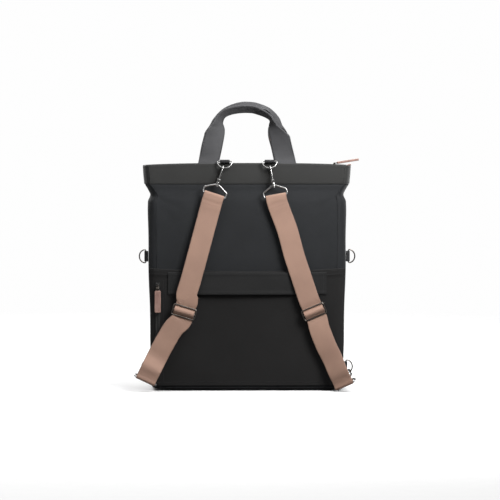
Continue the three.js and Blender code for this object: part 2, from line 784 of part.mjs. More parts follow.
// Frame of a strap at a distance from its top bar, turned towards its end by the twist.
function strapFrame(line, twist, distance) {
  const first = distance <= line.slide;
  const curve = first ? line.upper : line.lower;
  const start = first ? 0 : line.slide;
  const reach = first ? line.slide : line.length - line.slide;
  const share = THREE.MathUtils.clamp((distance - start) / reach, 0, 1);
  const along = curve.getTangentAt(share);
  const point = curve.getPointAt(share).addScaledVector(along, distance - start - share * reach);
  const level = along.clone().cross(depth_axis).normalize();
  const ahead = along.clone().cross(level).normalize();
  const turned = first ? 0 : twist * THREE.MathUtils.smoothstep(share, 0.15, 0.85);
  const across = level.clone().multiplyScalar(Math.cos(turned)).addScaledVector(ahead, Math.sin(turned));
  const normal = ahead.multiplyScalar(Math.cos(turned)).addScaledVector(level, -Math.sin(turned));
  return { point, along, across, normal };
}

// Route of the webbing along and off a strap's middle line: sewn fold, over the top bar, down, behind
// and over the slide's bars, round the lower bar and back up to the slide's middle bar.
function strapRoute(length, slide) {
  const bar = slide_height / 2 - slide_wire;
  const ply = (webbing + gap) / 2;
  const turn = loop_wire + gap + webbing / 2;
  const low = slide_ahead - slide_wire - gap - webbing / 2;
  const wrap = slide_wire + gap + webbing / 2;
  const over = wrap + webbing + gap;
  const route = [];
  const to = (along, off) => route.push({ along, off });
  const arc = (along, off, radius, start, end, steps) => {
    for (let i = 0; i <= steps; i += 1) {
      const angle = radians(THREE.MathUtils.lerp(start, end, i / steps));
      to(along + radius * Math.cos(angle), off + radius * Math.sin(angle));
    }
  };
  to(strap_fold, -ply);
  to(turn * 2, -ply);
  arc(0, 0, turn, -70, -290, 6);
  to(turn * 2, ply);
  to(strap_fold, ply);
  to(strap_fold + 14, 0);
  to(slide - bar * 2, 0);
  to(slide - bar, low);
  to(slide - bar * 0.72, low * 0.3);
  arc(slide, slide_ahead, over, 145, 35, 4);
  to(slide + bar * 0.72, low * 0.3);
  to(slide + bar, low);
  to(slide + bar * 2.4, ply);
  to(length - turn * 2.2, ply);
  arc(length, 0, turn, 110, -110, 6);
  to(length - turn * 2.2, -ply);
  to(slide + bar * 2.4, -ply - 0.4);
  to(slide + bar, low - webbing - gap - 0.1);
  to(slide + wrap * 1.3, slide_ahead - wrap - 1);
  arc(slide, slide_ahead, wrap, 270, 50, 5);
  return route;
}

function strap(name, line, twist) {
  const route = strapRoute(line.length, line.slide);
  const fine = [];
  const step = 16;
  route.forEach((stop, i) => {
    const next = route[i + 1];
    fine.push(stop);
    const parts = next ? Math.floor(Math.abs(next.along - stop.along) / step) : 0;
    for (let j = 1; j <= parts; j += 1) {
      fine.push({
        along: THREE.MathUtils.lerp(stop.along, next.along, j / (parts + 1)),
        off: THREE.MathUtils.lerp(stop.off, next.off, j / (parts + 1)),
      });
    }
  });
  const frames = fine.map(({ along }) => strapFrame(line, twist, along));
  const points = fine.map(({ off }, i) => frames[i].point.clone().addScaledVector(frames[i].normal, off));
  const way = directions(points, false);
  const stations = points.map((point, i) => ({
    point, across: frames[i].across, normal: way[i].clone().cross(frames[i].across).normalize() }));
  add(`${name}_strap`, ribbon(stations, webbing_width, webbing), blush_webbing);
  const seat = strapFrame(line, twist, line.slide);
  const frame = new THREE.Group();
  frame.quaternion.setFromRotationMatrix(new THREE.Matrix4().makeBasis(
    seat.across, seat.normal, seat.across.clone().cross(seat.normal)));
  frame.position.copy(seat.point).addScaledVector(seat.normal, slide_ahead);
  group.add(frame);
  add(`${name}_slide`, strapSlide(), dark_metal, frame);
}

function strapSlide() {
  const wide = webbing_width / 2 + slide_play + slide_wire;
  const high = slide_height / 2 - slide_wire;
  const corners = [v(-wide, 0, -high), v(wide, 0, -high), v(wide, 0, high), v(-wide, 0, high)];
  const rim = wire(rounded(corners, 3, 2), slide_wire, depth_axis, true);
  return geometryOf(joined([rim, cylinder(slide_wire, 2 * wide, width_axis, v(0, 0, 0), wire_sides)]));
}

// A top tab: doubled webbing that comes up inside the band, over its edge and round the ring's bar.
function topTab(x) {
  const wall = -band_rows[1].deep * half_depth;
  const turn = top_ring_wire + gap + tab_webbing / 2;
  const ply = tab_webbing + gap;
  const edge = mouth(x);
  const inside = wall + fabric + gap + tab_webbing / 2;
  const points = [v(x, inside + ply, edge - leg_depth), v(x, inside + ply, edge - 1.5)];
  points.push(...tab_rows.map((row) => v(x, wall - row.ahead, edge + row.up)));
  const arc_steps = 7;
  for (let i = 0; i <= arc_steps; i += 1) {
    const angle = radians(THREE.MathUtils.lerp(110, -100, i / arc_steps));
    points.push(v(x, wall - top_ring_ahead - turn * Math.cos(angle),
      edge + top_ring_rise + turn * Math.sin(angle)));
  }
  const rim = fabric / 2 + gap + tab_webbing / 2;
  points.push(v(x, wall - 0.6, edge + rim + 0.7), v(x, wall + fabric / 2 + 0.4, edge + rim));
  points.push(v(x, wall + fabric / 2 + rim * 0.8, edge + rim * 0.55));
  points.push(v(x, inside, edge - 1.5), v(x, inside, edge - leg_depth));
  return tongue(points, width_axis, top_tab_width, tab_webbing);
}

// A side tab: webbing folded round the ring's bar, with both ends against the gusset.
function sideTab(wall, height) {
  const turn = side_ring_wire + gap + tab_webbing / 2;
  const points = [v(wall.x + gap * wall.end, -side_ring_ahead - turn, height)];
  const arc_steps = 8;
  for (let i = 0; i <= arc_steps; i += 1) {
    const angle = radians(-90 + (i / arc_steps) * 180);
    points.push(v(wall.x + wall.end * (side_ring_reach + turn * Math.cos(angle)),
      -side_ring_ahead + turn * Math.sin(angle), height));
  }
  points.push(v(wall.x + gap * wall.end, -side_ring_ahead + turn, height));
  return tongue(points, up_axis, side_tab_width, tab_webbing);
}

function sideRing(name, end, height) {
  const spread = Math.max(...[-1, 0, 1].map((step) => bodySection(
    height + (step * side_tab_width) / 2).wide));
  const wall = { x: end * spread, end };
  add(`${name}_tab`, sideTab(wall, height), black_webbing);
  const ring = add(`${name}_ring`, dRing(side_ring_radius, side_ring_wire), dark_metal);
  ring.quaternion.setFromRotationMatrix(new THREE.Matrix4().makeBasis(
    v(0, 0, end), depth_axis, v(-end, 0, 0)));
  ring.position.set(wall.x + end * side_ring_reach, -side_ring_ahead, height);
  return ring;
}

// A zip slider on the XY plane that runs along X, with ears whose pin lies along Y.
function slider(length, width) {
  const shape = new THREE.Shape();
  const half = length / 2;
  shape.moveTo(-half, -width * 0.3);
  shape.lineTo(-half * 0.2, -width * 0.36);
  shape.lineTo(half * 0.5, -width / 2);
  shape.quadraticCurveTo(half, -width / 2, half, 0);
  shape.quadraticCurveTo(half, width / 2, half * 0.5, width / 2);
  shape.lineTo(-half * 0.2, width * 0.36);
  shape.lineTo(-half, width * 0.3);
  const body = new THREE.ExtrudeGeometry(shape, { depth: slider_thick, bevelEnabled: false });
  const ear = eye_radius - 0.2;
  const outside = eye_width / 2 + gap + 1;
  const crown = slider_thick + ear_height;
  const ears = [-1, 1].map((side) => {
    const inside = side * (eye_width / 2 + gap);
    return box(v(-ear, Math.min(inside, side * outside), slider_thick - 1),
      v(ear, Math.max(inside, side * outside), crown));
  });
  const pin = cylinder(eye_pin, 2 * outside - 0.4, depth_axis, v(0, 0, crown - ear), 8);
  return geometryOf(joined([body, ...ears, pin]));
}

const pin_height = slider_thick + ear_height - eye_radius + 0.2;

// A pull whose eye sits on the origin, with the pin along Y and the tab towards +X.
function pull(length) {
  const shape = new THREE.Shape();
  const half = pull_width / 2;
  const start = eye_radius + 2.4;
  shape.moveTo(start, -half * 0.7);
  shape.quadraticCurveTo(start + 2, -half, start + 5, -half);
  shape.lineTo(length - 2, -half);
  shape.quadraticCurveTo(length, -half, length, -half + 2);
  shape.lineTo(length, half - 2);
  shape.quadraticCurveTo(length, half, length - 2, half);
  shape.lineTo(start + 5, half);
  shape.quadraticCurveTo(start + 2, half, start, half * 0.7);
  const tab = new THREE.ExtrudeGeometry(shape, { depth: pull_thick, bevelEnabled: false, curveSegments: 3 });
  tab.translate(0, 0, -pull_thick / 2);
  const neck = box(v(0, -eye_width / 2 + 0.2, -0.8), v(start + 1, eye_width / 2 - 0.2, 0.8));
  const eye = cylinder(eye_radius, eye_width, depth_axis, v(0, 0, 0));
  const hole = cylinder(eye_hole, eye_width * 2, depth_axis, v(0, 0, 0), 10);
  return geometryOf(joined([tab, neck, eye]).subtract(solidOf(hole)));
}

// The mouth's closing panel: two tapes that meet in a low ridge, rounded at both ends of the band.
function ridgeHeight(x) {
  return mouth(x) - tape_recess + tape_crown;
}

function mouthPanel() {
  const section = sized(band_rows[1]);
  const straight = section.wide - section.turn_x;
  const end = section.turn_x - fabric - gap * 3;
  const reach = straight + end * 0.75;
  const steps = 22;
  const rings = [];
  for (let i = 0; i <= steps; i += 1) {
    const x = (2 * (i / steps) - 1) * reach;
    const past = Math.max(Math.abs(x) - straight, 0) / end;
    const full = section.deep - fabric - gap * 3;
    const deep = Math.min(section.deep - fabric - tape_clear, full * Math.sqrt(1 - past ** 2));
    const face = (lift) => [-1, -0.5, 0, 0.5, 1].map((share) => v(
      x, share * deep, ridgeHeight(x) - tape_crown * Math.abs(share) + lift));
    rings.push([...face(0), ...face(-tape_thick).reverse()]);
  }
  return skin(rings, false, true);
}

// The leather tab that covers the end of the zip, from the coil out over the edge of the band.
function endTab() {
  const edge = half_width * band_rows[1].wide;
  const coil_end = edge - fabric - 10;
  const lift = gap + end_tab_thick / 2;
  const over_coil = tape_crown - tape_recess + gap + coil_thick + lift;
  return tongue([
    v(end_tab_start, 0, mouth(end_tab_start) + over_coil), v(coil_end + 1, 0, mouth(coil_end) + over_coil),
    v(edge - fabric, 0, mouth(edge - fabric) + lift + 0.2), v(edge + 0.6, 0, mouth(edge) + lift + 0.1),
  ], depth_axis, end_tab_width, end_tab_thick);
}

function topCoil() {
  const reach = half_width * band_rows[1].wide - fabric - 10;
  const steps = 16;
  const rings = [];
  for (let i = 0; i <= steps; i += 1) {
    const x = (2 * (i / steps) - 1) * reach;
    const base = ridgeHeight(x) + gap;
    const half = coil_width / 2;
    rings.push([v(x, -half, base), v(x, half, base),
      v(x, half * 0.6, base + coil_thick), v(x, -half * 0.6, base + coil_thick)]);
  }
  return skin(rings, false, true);
}

add('bag_body', bodyShell(), body_fabric);
add('top_band', bandShell(), band_fabric);
add('mouth_panel', mouthPanel(), body_fabric);
add('top_zip', topCoil(), dark_metal);
add('end_tab', endTab(), blush_leather);
add('back_pocket', pocketPanel(), pocket_cloth);
add('trolley_band', trolleyBand(), band_fabric);

for (const [name, side] of [['near', -1], ['far', 1]]) {
  add(`${name}_handle`, handle(side), black_webbing);
  add(`${name}_left_lining`, legLining(side, -1), blush_webbing);
  add(`${name}_right_lining`, legLining(side, 1), blush_webbing);
}

for (const [name, end] of [['left', -1], ['right', 1]]) {
  // Top ring, its tab and the hook that holds the strap's upper end
  const ring_x = end * (top_ring_spread / 2);
  add(`${name}_top_tab`, topTab(ring_x), black_webbing);
  const ring = add(`${name}_top_ring`, dRing(top_ring_radius, top_ring_wire), bright_metal);
  ring.rotation.x = -radians(top_ring_tilt);
  ring.position.set(ring_x, -band_rows[1].deep * half_depth - top_ring_ahead, mouth(ring_x) + top_ring_rise);
  ring.updateMatrixWorld();
  const held = bowPoint(top_ring_radius, end * radians(top_ring_slip[name])).applyMatrix4(ring.matrixWorld);
  const lean = radians(top_hook_lean[name]);
  const axis = v(-end * Math.sin(lean), Math.sin(radians(top_hook_pitch)), Math.cos(lean)).normalize();
  const bar = axis.clone().cross(depth_axis).normalize().multiplyScalar(-1);
  const top = snapHook(`${name}_top`, held, top_ring_wire, axis, bar, bar);

  // Side rings, the lower one with the hook that holds the strap's lower end
  sideRing(`${name}_side`, end, upper_ring_height);
  const low_ring = sideRing(`${name}_low`, end, low_ring_height);
  low_ring.updateMatrixWorld();
  const low_held = bowPoint(side_ring_radius, -end * radians(low_ring_slip)).applyMatrix4(low_ring.matrixWorld);
  const pitch = radians(low_hook_pitch[name]);
  const low_lean = radians(low_hook_lean[name]);
  const low_axis = v(end * Math.sin(low_lean), Math.cos(pitch), Math.sin(pitch)).normalize();
  const tangent = v(Math.sin(radians(low_ring_slip)), 0, end * Math.cos(radians(low_ring_slip)));
  const flat = tangent.addScaledVector(low_axis, -tangent.dot(low_axis)).normalize();
  const way = v(end * 0.44, 0, -0.9).normalize();
  const level = way.clone().cross(depth_axis).normalize();
  const ahead = way.clone().cross(level).normalize();
  const twist = Math.atan2(-level.dot(low_axis), ahead.dot(low_axis));
  const turned = twist > Math.PI / 2 ? twist - Math.PI : twist < -Math.PI / 2 ? twist + Math.PI : twist;
  const low_bar = level.multiplyScalar(Math.cos(turned)).addScaledVector(ahead, Math.sin(turned));
  const low = snapHook(`${name}_low`, low_held, side_ring_wire, low_axis, flat, low_bar);
  strap(name, strapLine(end, top, axis.clone().negate(), low, way), turned);
}

// Top zip's slider and pull
const slider_frame = new THREE.Group();
slider_frame.position.set(top_slider_place, 0, ridgeHeight(top_slider_place) + coil_thick + 2 * gap);
group.add(slider_frame);
add('top_slider', slider(slider_length, slider_width), dark_metal, slider_frame);
const top_pull = add('top_pull', pull(top_pull_length), blush_leather, slider_frame);
top_pull.position.z = pin_height;
top_pull.rotation.y = -radians(top_pull_rise);

// Pocket zip, its slider and pull
const zip_face = -(pocket_face + gap);
add('pocket_zip', box(
  v(-pocket_zip_place - coil_width / 2, zip_face - coil_thick, pocket_zip_top - pocket_zip_length),
  v(-pocket_zip_place + coil_width / 2, zip_face, pocket_zip_top)), dark_metal);
const pocket_frame = new THREE.Group();
pocket_frame.quaternion.setFromRotationMatrix(new THREE.Matrix4().makeBasis(
  v(0, 0, -1), v(1, 0, 0), v(0, -1, 0)));
pocket_frame.position.set(-pocket_zip_place, zip_face - coil_thick - gap,
  pocket_zip_top - pocket_slider_drop - slider_length / 2);
group.add(pocket_frame);
add('pocket_slider', slider(slider_length, slider_width * 0.8), dark_metal, pocket_frame);
add('pocket_pull', pull(pocket_pull_length), blush_leather, pocket_frame).position.z = pin_height;

export default group;
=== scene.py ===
"""Looks of a convertible backpack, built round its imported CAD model.

Lengths in the tables and formulas are in millimetres, as in the part's source, and become metres when a mesh
is made. The wearer's side, with the shoulder straps, faces -Y.
"""

import math

import bmesh
import bpy
import numpy as np
from mathutils import Matrix, Vector

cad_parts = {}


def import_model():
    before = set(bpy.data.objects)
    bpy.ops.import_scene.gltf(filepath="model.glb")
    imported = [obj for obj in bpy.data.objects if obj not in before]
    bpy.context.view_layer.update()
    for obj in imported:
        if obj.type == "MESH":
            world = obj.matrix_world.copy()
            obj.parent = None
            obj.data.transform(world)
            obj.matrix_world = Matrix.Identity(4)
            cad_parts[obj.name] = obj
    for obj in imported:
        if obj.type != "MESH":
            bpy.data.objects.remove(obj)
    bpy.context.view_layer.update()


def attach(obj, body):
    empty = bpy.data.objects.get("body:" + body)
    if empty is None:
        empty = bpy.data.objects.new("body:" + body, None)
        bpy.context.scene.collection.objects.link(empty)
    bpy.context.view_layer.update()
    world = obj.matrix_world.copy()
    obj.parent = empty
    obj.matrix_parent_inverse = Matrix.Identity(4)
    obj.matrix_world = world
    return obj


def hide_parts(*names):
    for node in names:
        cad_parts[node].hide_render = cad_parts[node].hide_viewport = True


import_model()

METRES = 0.001
LAYER = "cloth_map"

# Bag
bag_width = 367.4
bag_depth = 120
body_height = 380.7
band_height = 37.3
band_sag = 3.5
fabric = 2
base_round_wide = 26
base_round_deep = 10
base_round_high = 10
gap = 0.3

# Lower pocket and luggage strap
pocket_top = 226
pocket_sag = 6
pocket_fabric = 1.8
trolley_top = 219
trolley_height = 41
trolley_width = 292
trolley_bow = 6.4
trolley_sewn = 14
trolley_fabric = 1.6

# Webbing of the straps, handles and tabs
webbing_width = 38
webbing = 1.6
handle_webbing = 1.6
lining = 1
lining_width = 34
lining_taper = 0.86
tab_webbing = 1.4
top_tab_width = 18.2
side_tab_width = 19.4
leg_depth = 18

# Handles
handle_inside = 101.6
handle_rise = 94.7
far_handle_extra = 6.8
handle_lean = 10
grip_tip = -45
fold_radius = 1.1
handle_steps = 46

# Rings
top_ring_spread = 82.6
top_ring_radius = 13.2
top_ring_wire = 1.3
top_ring_rise = 5
top_ring_ahead = 5.4
top_ring_tilt = 20
side_ring_radius = 12
side_ring_wire = 1.15
side_ring_reach = 4.6
side_ring_ahead = 41
upper_ring_height = 247.8
low_ring_height = 43
low_ring_slip = 56
top_ring_slip = {"left": 16, "right": 6}
ring_shoulder = 1.6

# Snap hooks and their strap loops
hook_wire = 1.8
hook_bow = 5.2
hook_height = 29
collar_radius = 3.6
collar_height = 3.8
neck_radius = 1.35
neck_length = 4.3
head_radius = 2.5
head_height = 1.4
fork_thick = 5.4
slot_thick = 3.6
gate_wire = 1.35
gate_barrel = 1.8
gate_pin = 0.7
gate_clearance = 0.45
hook_play = 0.5
loop_wire = 1.6
loop_height = 19.5
loop_shoulder = 9.5
loop_play = 0.9
top_hook_lean = {"left": 18, "right": 11}
top_hook_pitch = 8
low_hook_lean = {"left": 3.5, "right": 14}
low_hook_pitch = {"left": 12, "right": 24}

# Strap slides
slide_height = 22
slide_wire = 1.3
slide_play = 1.2
slide_ahead = 1.4
strap_fold = 22
strap_lead = 12
slide_lead = 16
slide_lean = {"left": 17, "right": 23}

# Zips
coil_width = 8
coil_thick = 1.4
tape_thick = 1.2
tape_recess = 7
tape_crown = 2.5
tape_clear = 4.3
top_slider_place = 163
slider_length = 12
slider_width = 9
slider_thick = 3
ear_height = 3.8
pull_width = 11.6
pull_thick = 4
top_pull_length = 46
pocket_pull_length = 45
top_pull_rise = 9
eye_radius = 1.7
eye_width = 4
pocket_zip_place = 165
pocket_zip_top = 200
pocket_zip_length = 130
pocket_slider_drop = 4
end_tab_start = 171.5
end_tab_width = 12
end_tab_thick = 2

half_width = bag_width / 2
half_depth = bag_depth / 2
mouth_height = body_height + gap + band_height
pocket_face = half_depth + gap + pocket_fabric

# Plan sections of the body. up is a share of the body's height, wide and turn_x are shares of half
# the bag's width, deep and turn_y of half its depth.
BODY_ROWS = [
    dict(up=0.026, wide=0.964, deep=1.0, turn_x=0.087, turn_y=0.267),
    dict(up=0.16, wide=0.972, deep=1.0, turn_x=0.087, turn_y=0.267),
    dict(up=0.44, wide=0.983, deep=1.0, turn_x=0.087, turn_y=0.267),
    dict(up=0.62, wide=0.992, deep=1.0, turn_x=0.087, turn_y=0.267),
    dict(up=0.74, wide=0.996, deep=0.965, turn_x=0.087, turn_y=0.3),
    dict(up=0.84, wide=0.999, deep=0.92, turn_x=0.09, turn_y=0.36),
    dict(up=0.914, wide=1.0, deep=0.87, turn_x=0.09, turn_y=0.45),
    dict(up=0.948, wide=0.977, deep=0.82, turn_x=0.08, turn_y=0.6),
    dict(up=0.972, wide=1.0, deep=0.785, turn_x=0.072, turn_y=0.7),
    dict(up=1.0, wide=1.036, deep=0.767, turn_x=0.068, turn_y=0.74),
]

# The band's two sections, up as a share of its own height.
BAND_ROWS = [
    dict(up=0, wide=1.038, deep=0.767, turn_x=0.068, turn_y=0.74),
    dict(up=1, wide=1.053, deep=0.767, turn_x=0.068, turn_y=0.74),
]

# Inner edge of each handle leg's webbing, from the bag to the middle of the grip. up is a share of the
# rise, across of half the span inside, front the share of the width that stays on the outer face while
# the rest folds behind it, tip a share of the grip's tilt, and turn how far the width climbs, in degrees.
HANDLE_ROWS = dict(
    near_left=[
        dict(up=-0.18, across=1.1, front=1, tip=0, turn=5),
        dict(up=0.05, across=1.01, front=1, tip=0, turn=6),
        dict(up=0.29, across=0.912, front=1, tip=0.2, turn=7),
        dict(up=0.5, across=0.838, front=0.94, tip=0.35, turn=9),
        dict(up=0.6, across=0.812, front=0.85, tip=0.45, turn=11),
        dict(up=0.69, across=0.815, front=0.7, tip=0.55, turn=12),
        dict(up=0.755, across=0.855, front=0.56, tip=0.75, turn=15),
        dict(up=0.8, across=0.884, front=0.47, tip=0.9, turn=22),
        dict(up=0.86, across=0.87, front=0.44, tip=1, turn=34),
        dict(up=0.91, across=0.78, front=0.44, tip=1, turn=47),
        dict(up=0.955, across=0.6, front=0.44, tip=1, turn=62),
        dict(up=0.99, across=0.25, front=0.44, tip=1, turn=79),
    ],
    near_right=[
        dict(up=-0.18, across=1.1, front=1, tip=0, turn=5),
        dict(up=0.05, across=1.01, front=1, tip=0, turn=6),
        dict(up=0.29, across=0.905, front=1, tip=0.2, turn=7),
        dict(up=0.48, across=0.84, front=0.94, tip=0.35, turn=9),
        dict(up=0.575, across=0.805, front=0.77, tip=0.45, turn=11),
        dict(up=0.65, across=0.788, front=0.59, tip=0.6, turn=14),
        dict(up=0.715, across=0.785, front=0.46, tip=0.85, turn=20),
        dict(up=0.78, across=0.805, front=0.44, tip=1.3, turn=32),
        dict(up=0.845, across=0.822, front=0.44, tip=1.6, turn=46),
        dict(up=0.905, across=0.67, front=0.44, tip=1.42, turn=58),
        dict(up=0.955, across=0.42, front=0.44, tip=1.2, turn=69),
        dict(up=0.99, across=0.17, front=0.44, tip=1.03, turn=81),
    ],
    far_left=[
        dict(up=-0.18, across=1.1, front=1, tip=0, turn=5),
        dict(up=0.05, across=1.01, front=1, tip=0, turn=6),
        dict(up=0.29, across=0.925, front=1, tip=0.15, turn=7),
        dict(up=0.47, across=0.845, front=0.97, tip=0.3, turn=8),
        dict(up=0.56, across=0.82, front=0.89, tip=0.4, turn=9),
        dict(up=0.65, across=0.82, front=0.73, tip=0.5, turn=12),
        dict(up=0.73, across=0.865, front=0.57, tip=0.65, turn=19),
        dict(up=0.81, across=0.83, front=0.46, tip=0.8, turn=34),
        dict(up=0.87, across=0.74, front=0.44, tip=0.9, turn=48),
        dict(up=0.92, across=0.6, front=0.44, tip=0.95, turn=60),
        dict(up=0.965, across=0.4, front=0.44, tip=1, turn=72),
        dict(up=0.995, across=0.15, front=0.44, tip=1, turn=83),
    ],
    far_right=[
        dict(up=-0.18, across=1.1, front=1, tip=0, turn=5),
        dict(up=0.05, across=1.01, front=1, tip=0, turn=6),
        dict(up=0.29, across=0.905, front=1, tip=0.15, turn=7),
        dict(up=0.47, across=0.81, front=0.97, tip=0.3, turn=8),
        dict(up=0.56, across=0.79, front=0.89, tip=0.4, turn=9),
        dict(up=0.65, across=0.8, front=0.72, tip=0.5, turn=12),
        dict(up=0.735, across=0.86, front=0.57, tip=0.65, turn=19),
        dict(up=0.82, across=0.918, front=0.46, tip=1.15, turn=36),
        dict(up=0.9, across=0.86, front=0.44, tip=1.45, turn=48),
        dict(up=0.965, across=0.72, front=0.44, tip=1.55, turn=59),
        dict(up=0.99, across=0.48, front=0.44, tip=1.35, turn=72),
        dict(up=1.0, across=0.2, front=0.44, tip=1.08, turn=84),
    ],
)

# Middle line of the shoulder straps. up is a share of the mouth's height, left and right are shares of
# half the bag's width, ahead of half its depth.
STRAP_ROWS = [
    dict(up=0.71, left=0.431, right=0.4, ahead=1.165),
    dict(up=0.603, left=0.496, right=0.466, ahead=1.215),
    dict(up=0.497, left=0.562, right=0.545, ahead=1.25),
    dict(up=0.416, left=0.61, right=0.606, ahead=1.26),
    dict(up=0.282, left=0.735, right=0.718, ahead=1.265),
    dict(up=0.2, left=0.848, right=0.79, ahead=1.29),
    dict(up=0.148, left=0.91, right=0.848, ahead=1.33),
]
# Distances from a strap's top bar of the two rows that sew its fold, and how far they pull the webbing in.
SEWN_ROWS = (14.5, 19.5)
sewn_dip = 0.15

SLIDE_ROW = dict(up=0.351, left=0.634, right=0.667, ahead=1.265)

# Where a top tab's inner ply bends over the band's edge to its ring, seen from the side.
TAB_ROWS = [
    dict(ahead=-4.3, up=2.4),
    dict(ahead=-1.4, up=4.8),
]

WIDTH = np.array([1.0, 0, 0])
DEPTH = np.array([0, 1.0, 0])
UP = np.array([0, 0, 1.0])


# Small vector and curve tools

def vec(x, y, z):
    return np.array([x, y, z], float)


def unit(a):
    a = np.asarray(a, float)
    return a / np.maximum(np.linalg.norm(a, axis=-1, keepdims=True), 1e-12)


def lerp(a, b, t):
    return a + (b - a) * t


def smooth(a, b, x):
    t = np.clip((x - a) / (b - a), 0, 1)
    return t * t * (3 - 2 * t)


def monotone(at, values, x):
    """A smooth curve through the values that doesn't swing past them."""
    at, values, x = np.asarray(at, float), np.asarray(values, float), np.asarray(x, float)
    step = np.diff(at)
    slope = np.diff(values) / step
    tangent = np.zeros(len(at))
    tangent[0], tangent[-1] = slope[0], slope[-1]
    for i in range(1, len(at) - 1):
        if slope[i - 1] * slope[i] > 0:
            tangent[i] = 2 * slope[i - 1] * slope[i] / (slope[i - 1] + slope[i])
    i = np.clip(np.searchsorted(at, x, side="right") - 1, 0, len(at) - 2)
    t = np.clip((x - at[i]) / step[i], 0, 1)
    return ((2 * t**3 - 3 * t**2 + 1) * values[i] + (t**3 - 2 * t**2 + t) * step[i] * tangent[i]
            + (3 * t**2 - 2 * t**3) * values[i + 1] + (t**3 - t**2) * step[i] * tangent[i + 1])


def catmull(points, count):
    """Centripetal Catmull-Rom curve through points, count samples at even steps of its own parameter."""
    p = np.asarray(points, float)
    ends = np.vstack([2 * p[0] - p[1], p, 2 * p[-1] - p[-2]])
    place = np.linspace(0, len(p) - 1, count)
    i = np.minimum(place.astype(int), len(p) - 2)
    t = (place - i)[:, None]
    p0, p1, p2, p3 = (ends[i + k] for k in range(4))
    d0, d1, d2 = (np.maximum(np.linalg.norm(b - a, axis=1, keepdims=True) ** 0.5, 1e-4)
                  for a, b in ((p0, p1), (p1, p2), (p2, p3)))
    m1 = ((p1 - p0) / d0 - (p2 - p0) / (d0 + d1) + (p2 - p1) / d1) * d1
    m2 = ((p2 - p1) / d1 - (p3 - p1) / (d1 + d2) + (p3 - p2) / d2) * d1
    return ((2 * p1 - 2 * p2 + m1 + m2) * t**3 + (-3 * p1 + 3 * p2 - 2 * m1 - m2) * t**2 + m1 * t + p1)


def lengths(points):
    return np.concatenate([[0], np.cumsum(np.linalg.norm(np.diff(points, axis=0), axis=1))])


def resample(points, at):
    run = lengths(points)
    return np.stack([np.interp(at, run, points[:, k]) for k in range(points.shape[1])], axis=1)


def evenly(points, spacing):
    run = lengths(points)[-1]
    return resample(points, np.linspace(0, run, max(2, int(round(run / spacing)) + 1)))


def directions(points, closed=False):
    points = np.asarray(points, float)
    if closed:
        return unit(np.roll(points, -1, axis=0) - np.roll(points, 1, axis=0))
    ahead = np.vstack([points[1:], points[-1:]])
    behind = np.vstack([points[:1], points[:-1]])
    return unit(ahead - behind)


def rounded(corners, cut, steps):
    """A closed line whose corners are replaced by short curves."""
    corners = [np.asarray(c, float) for c in corners]
    points = []
    for i, corner in enumerate(corners):
        before = corner + unit(corners[i - 1] - corner) * cut
        after = corner + unit(corners[(i + 1) % len(corners)] - corner) * cut
        for t in np.linspace(0, 1, steps + 1):
            points.append((1 - t) ** 2 * before + 2 * t * (1 - t) * corner + t**2 * after)
    return np.array(points)


# Meshes

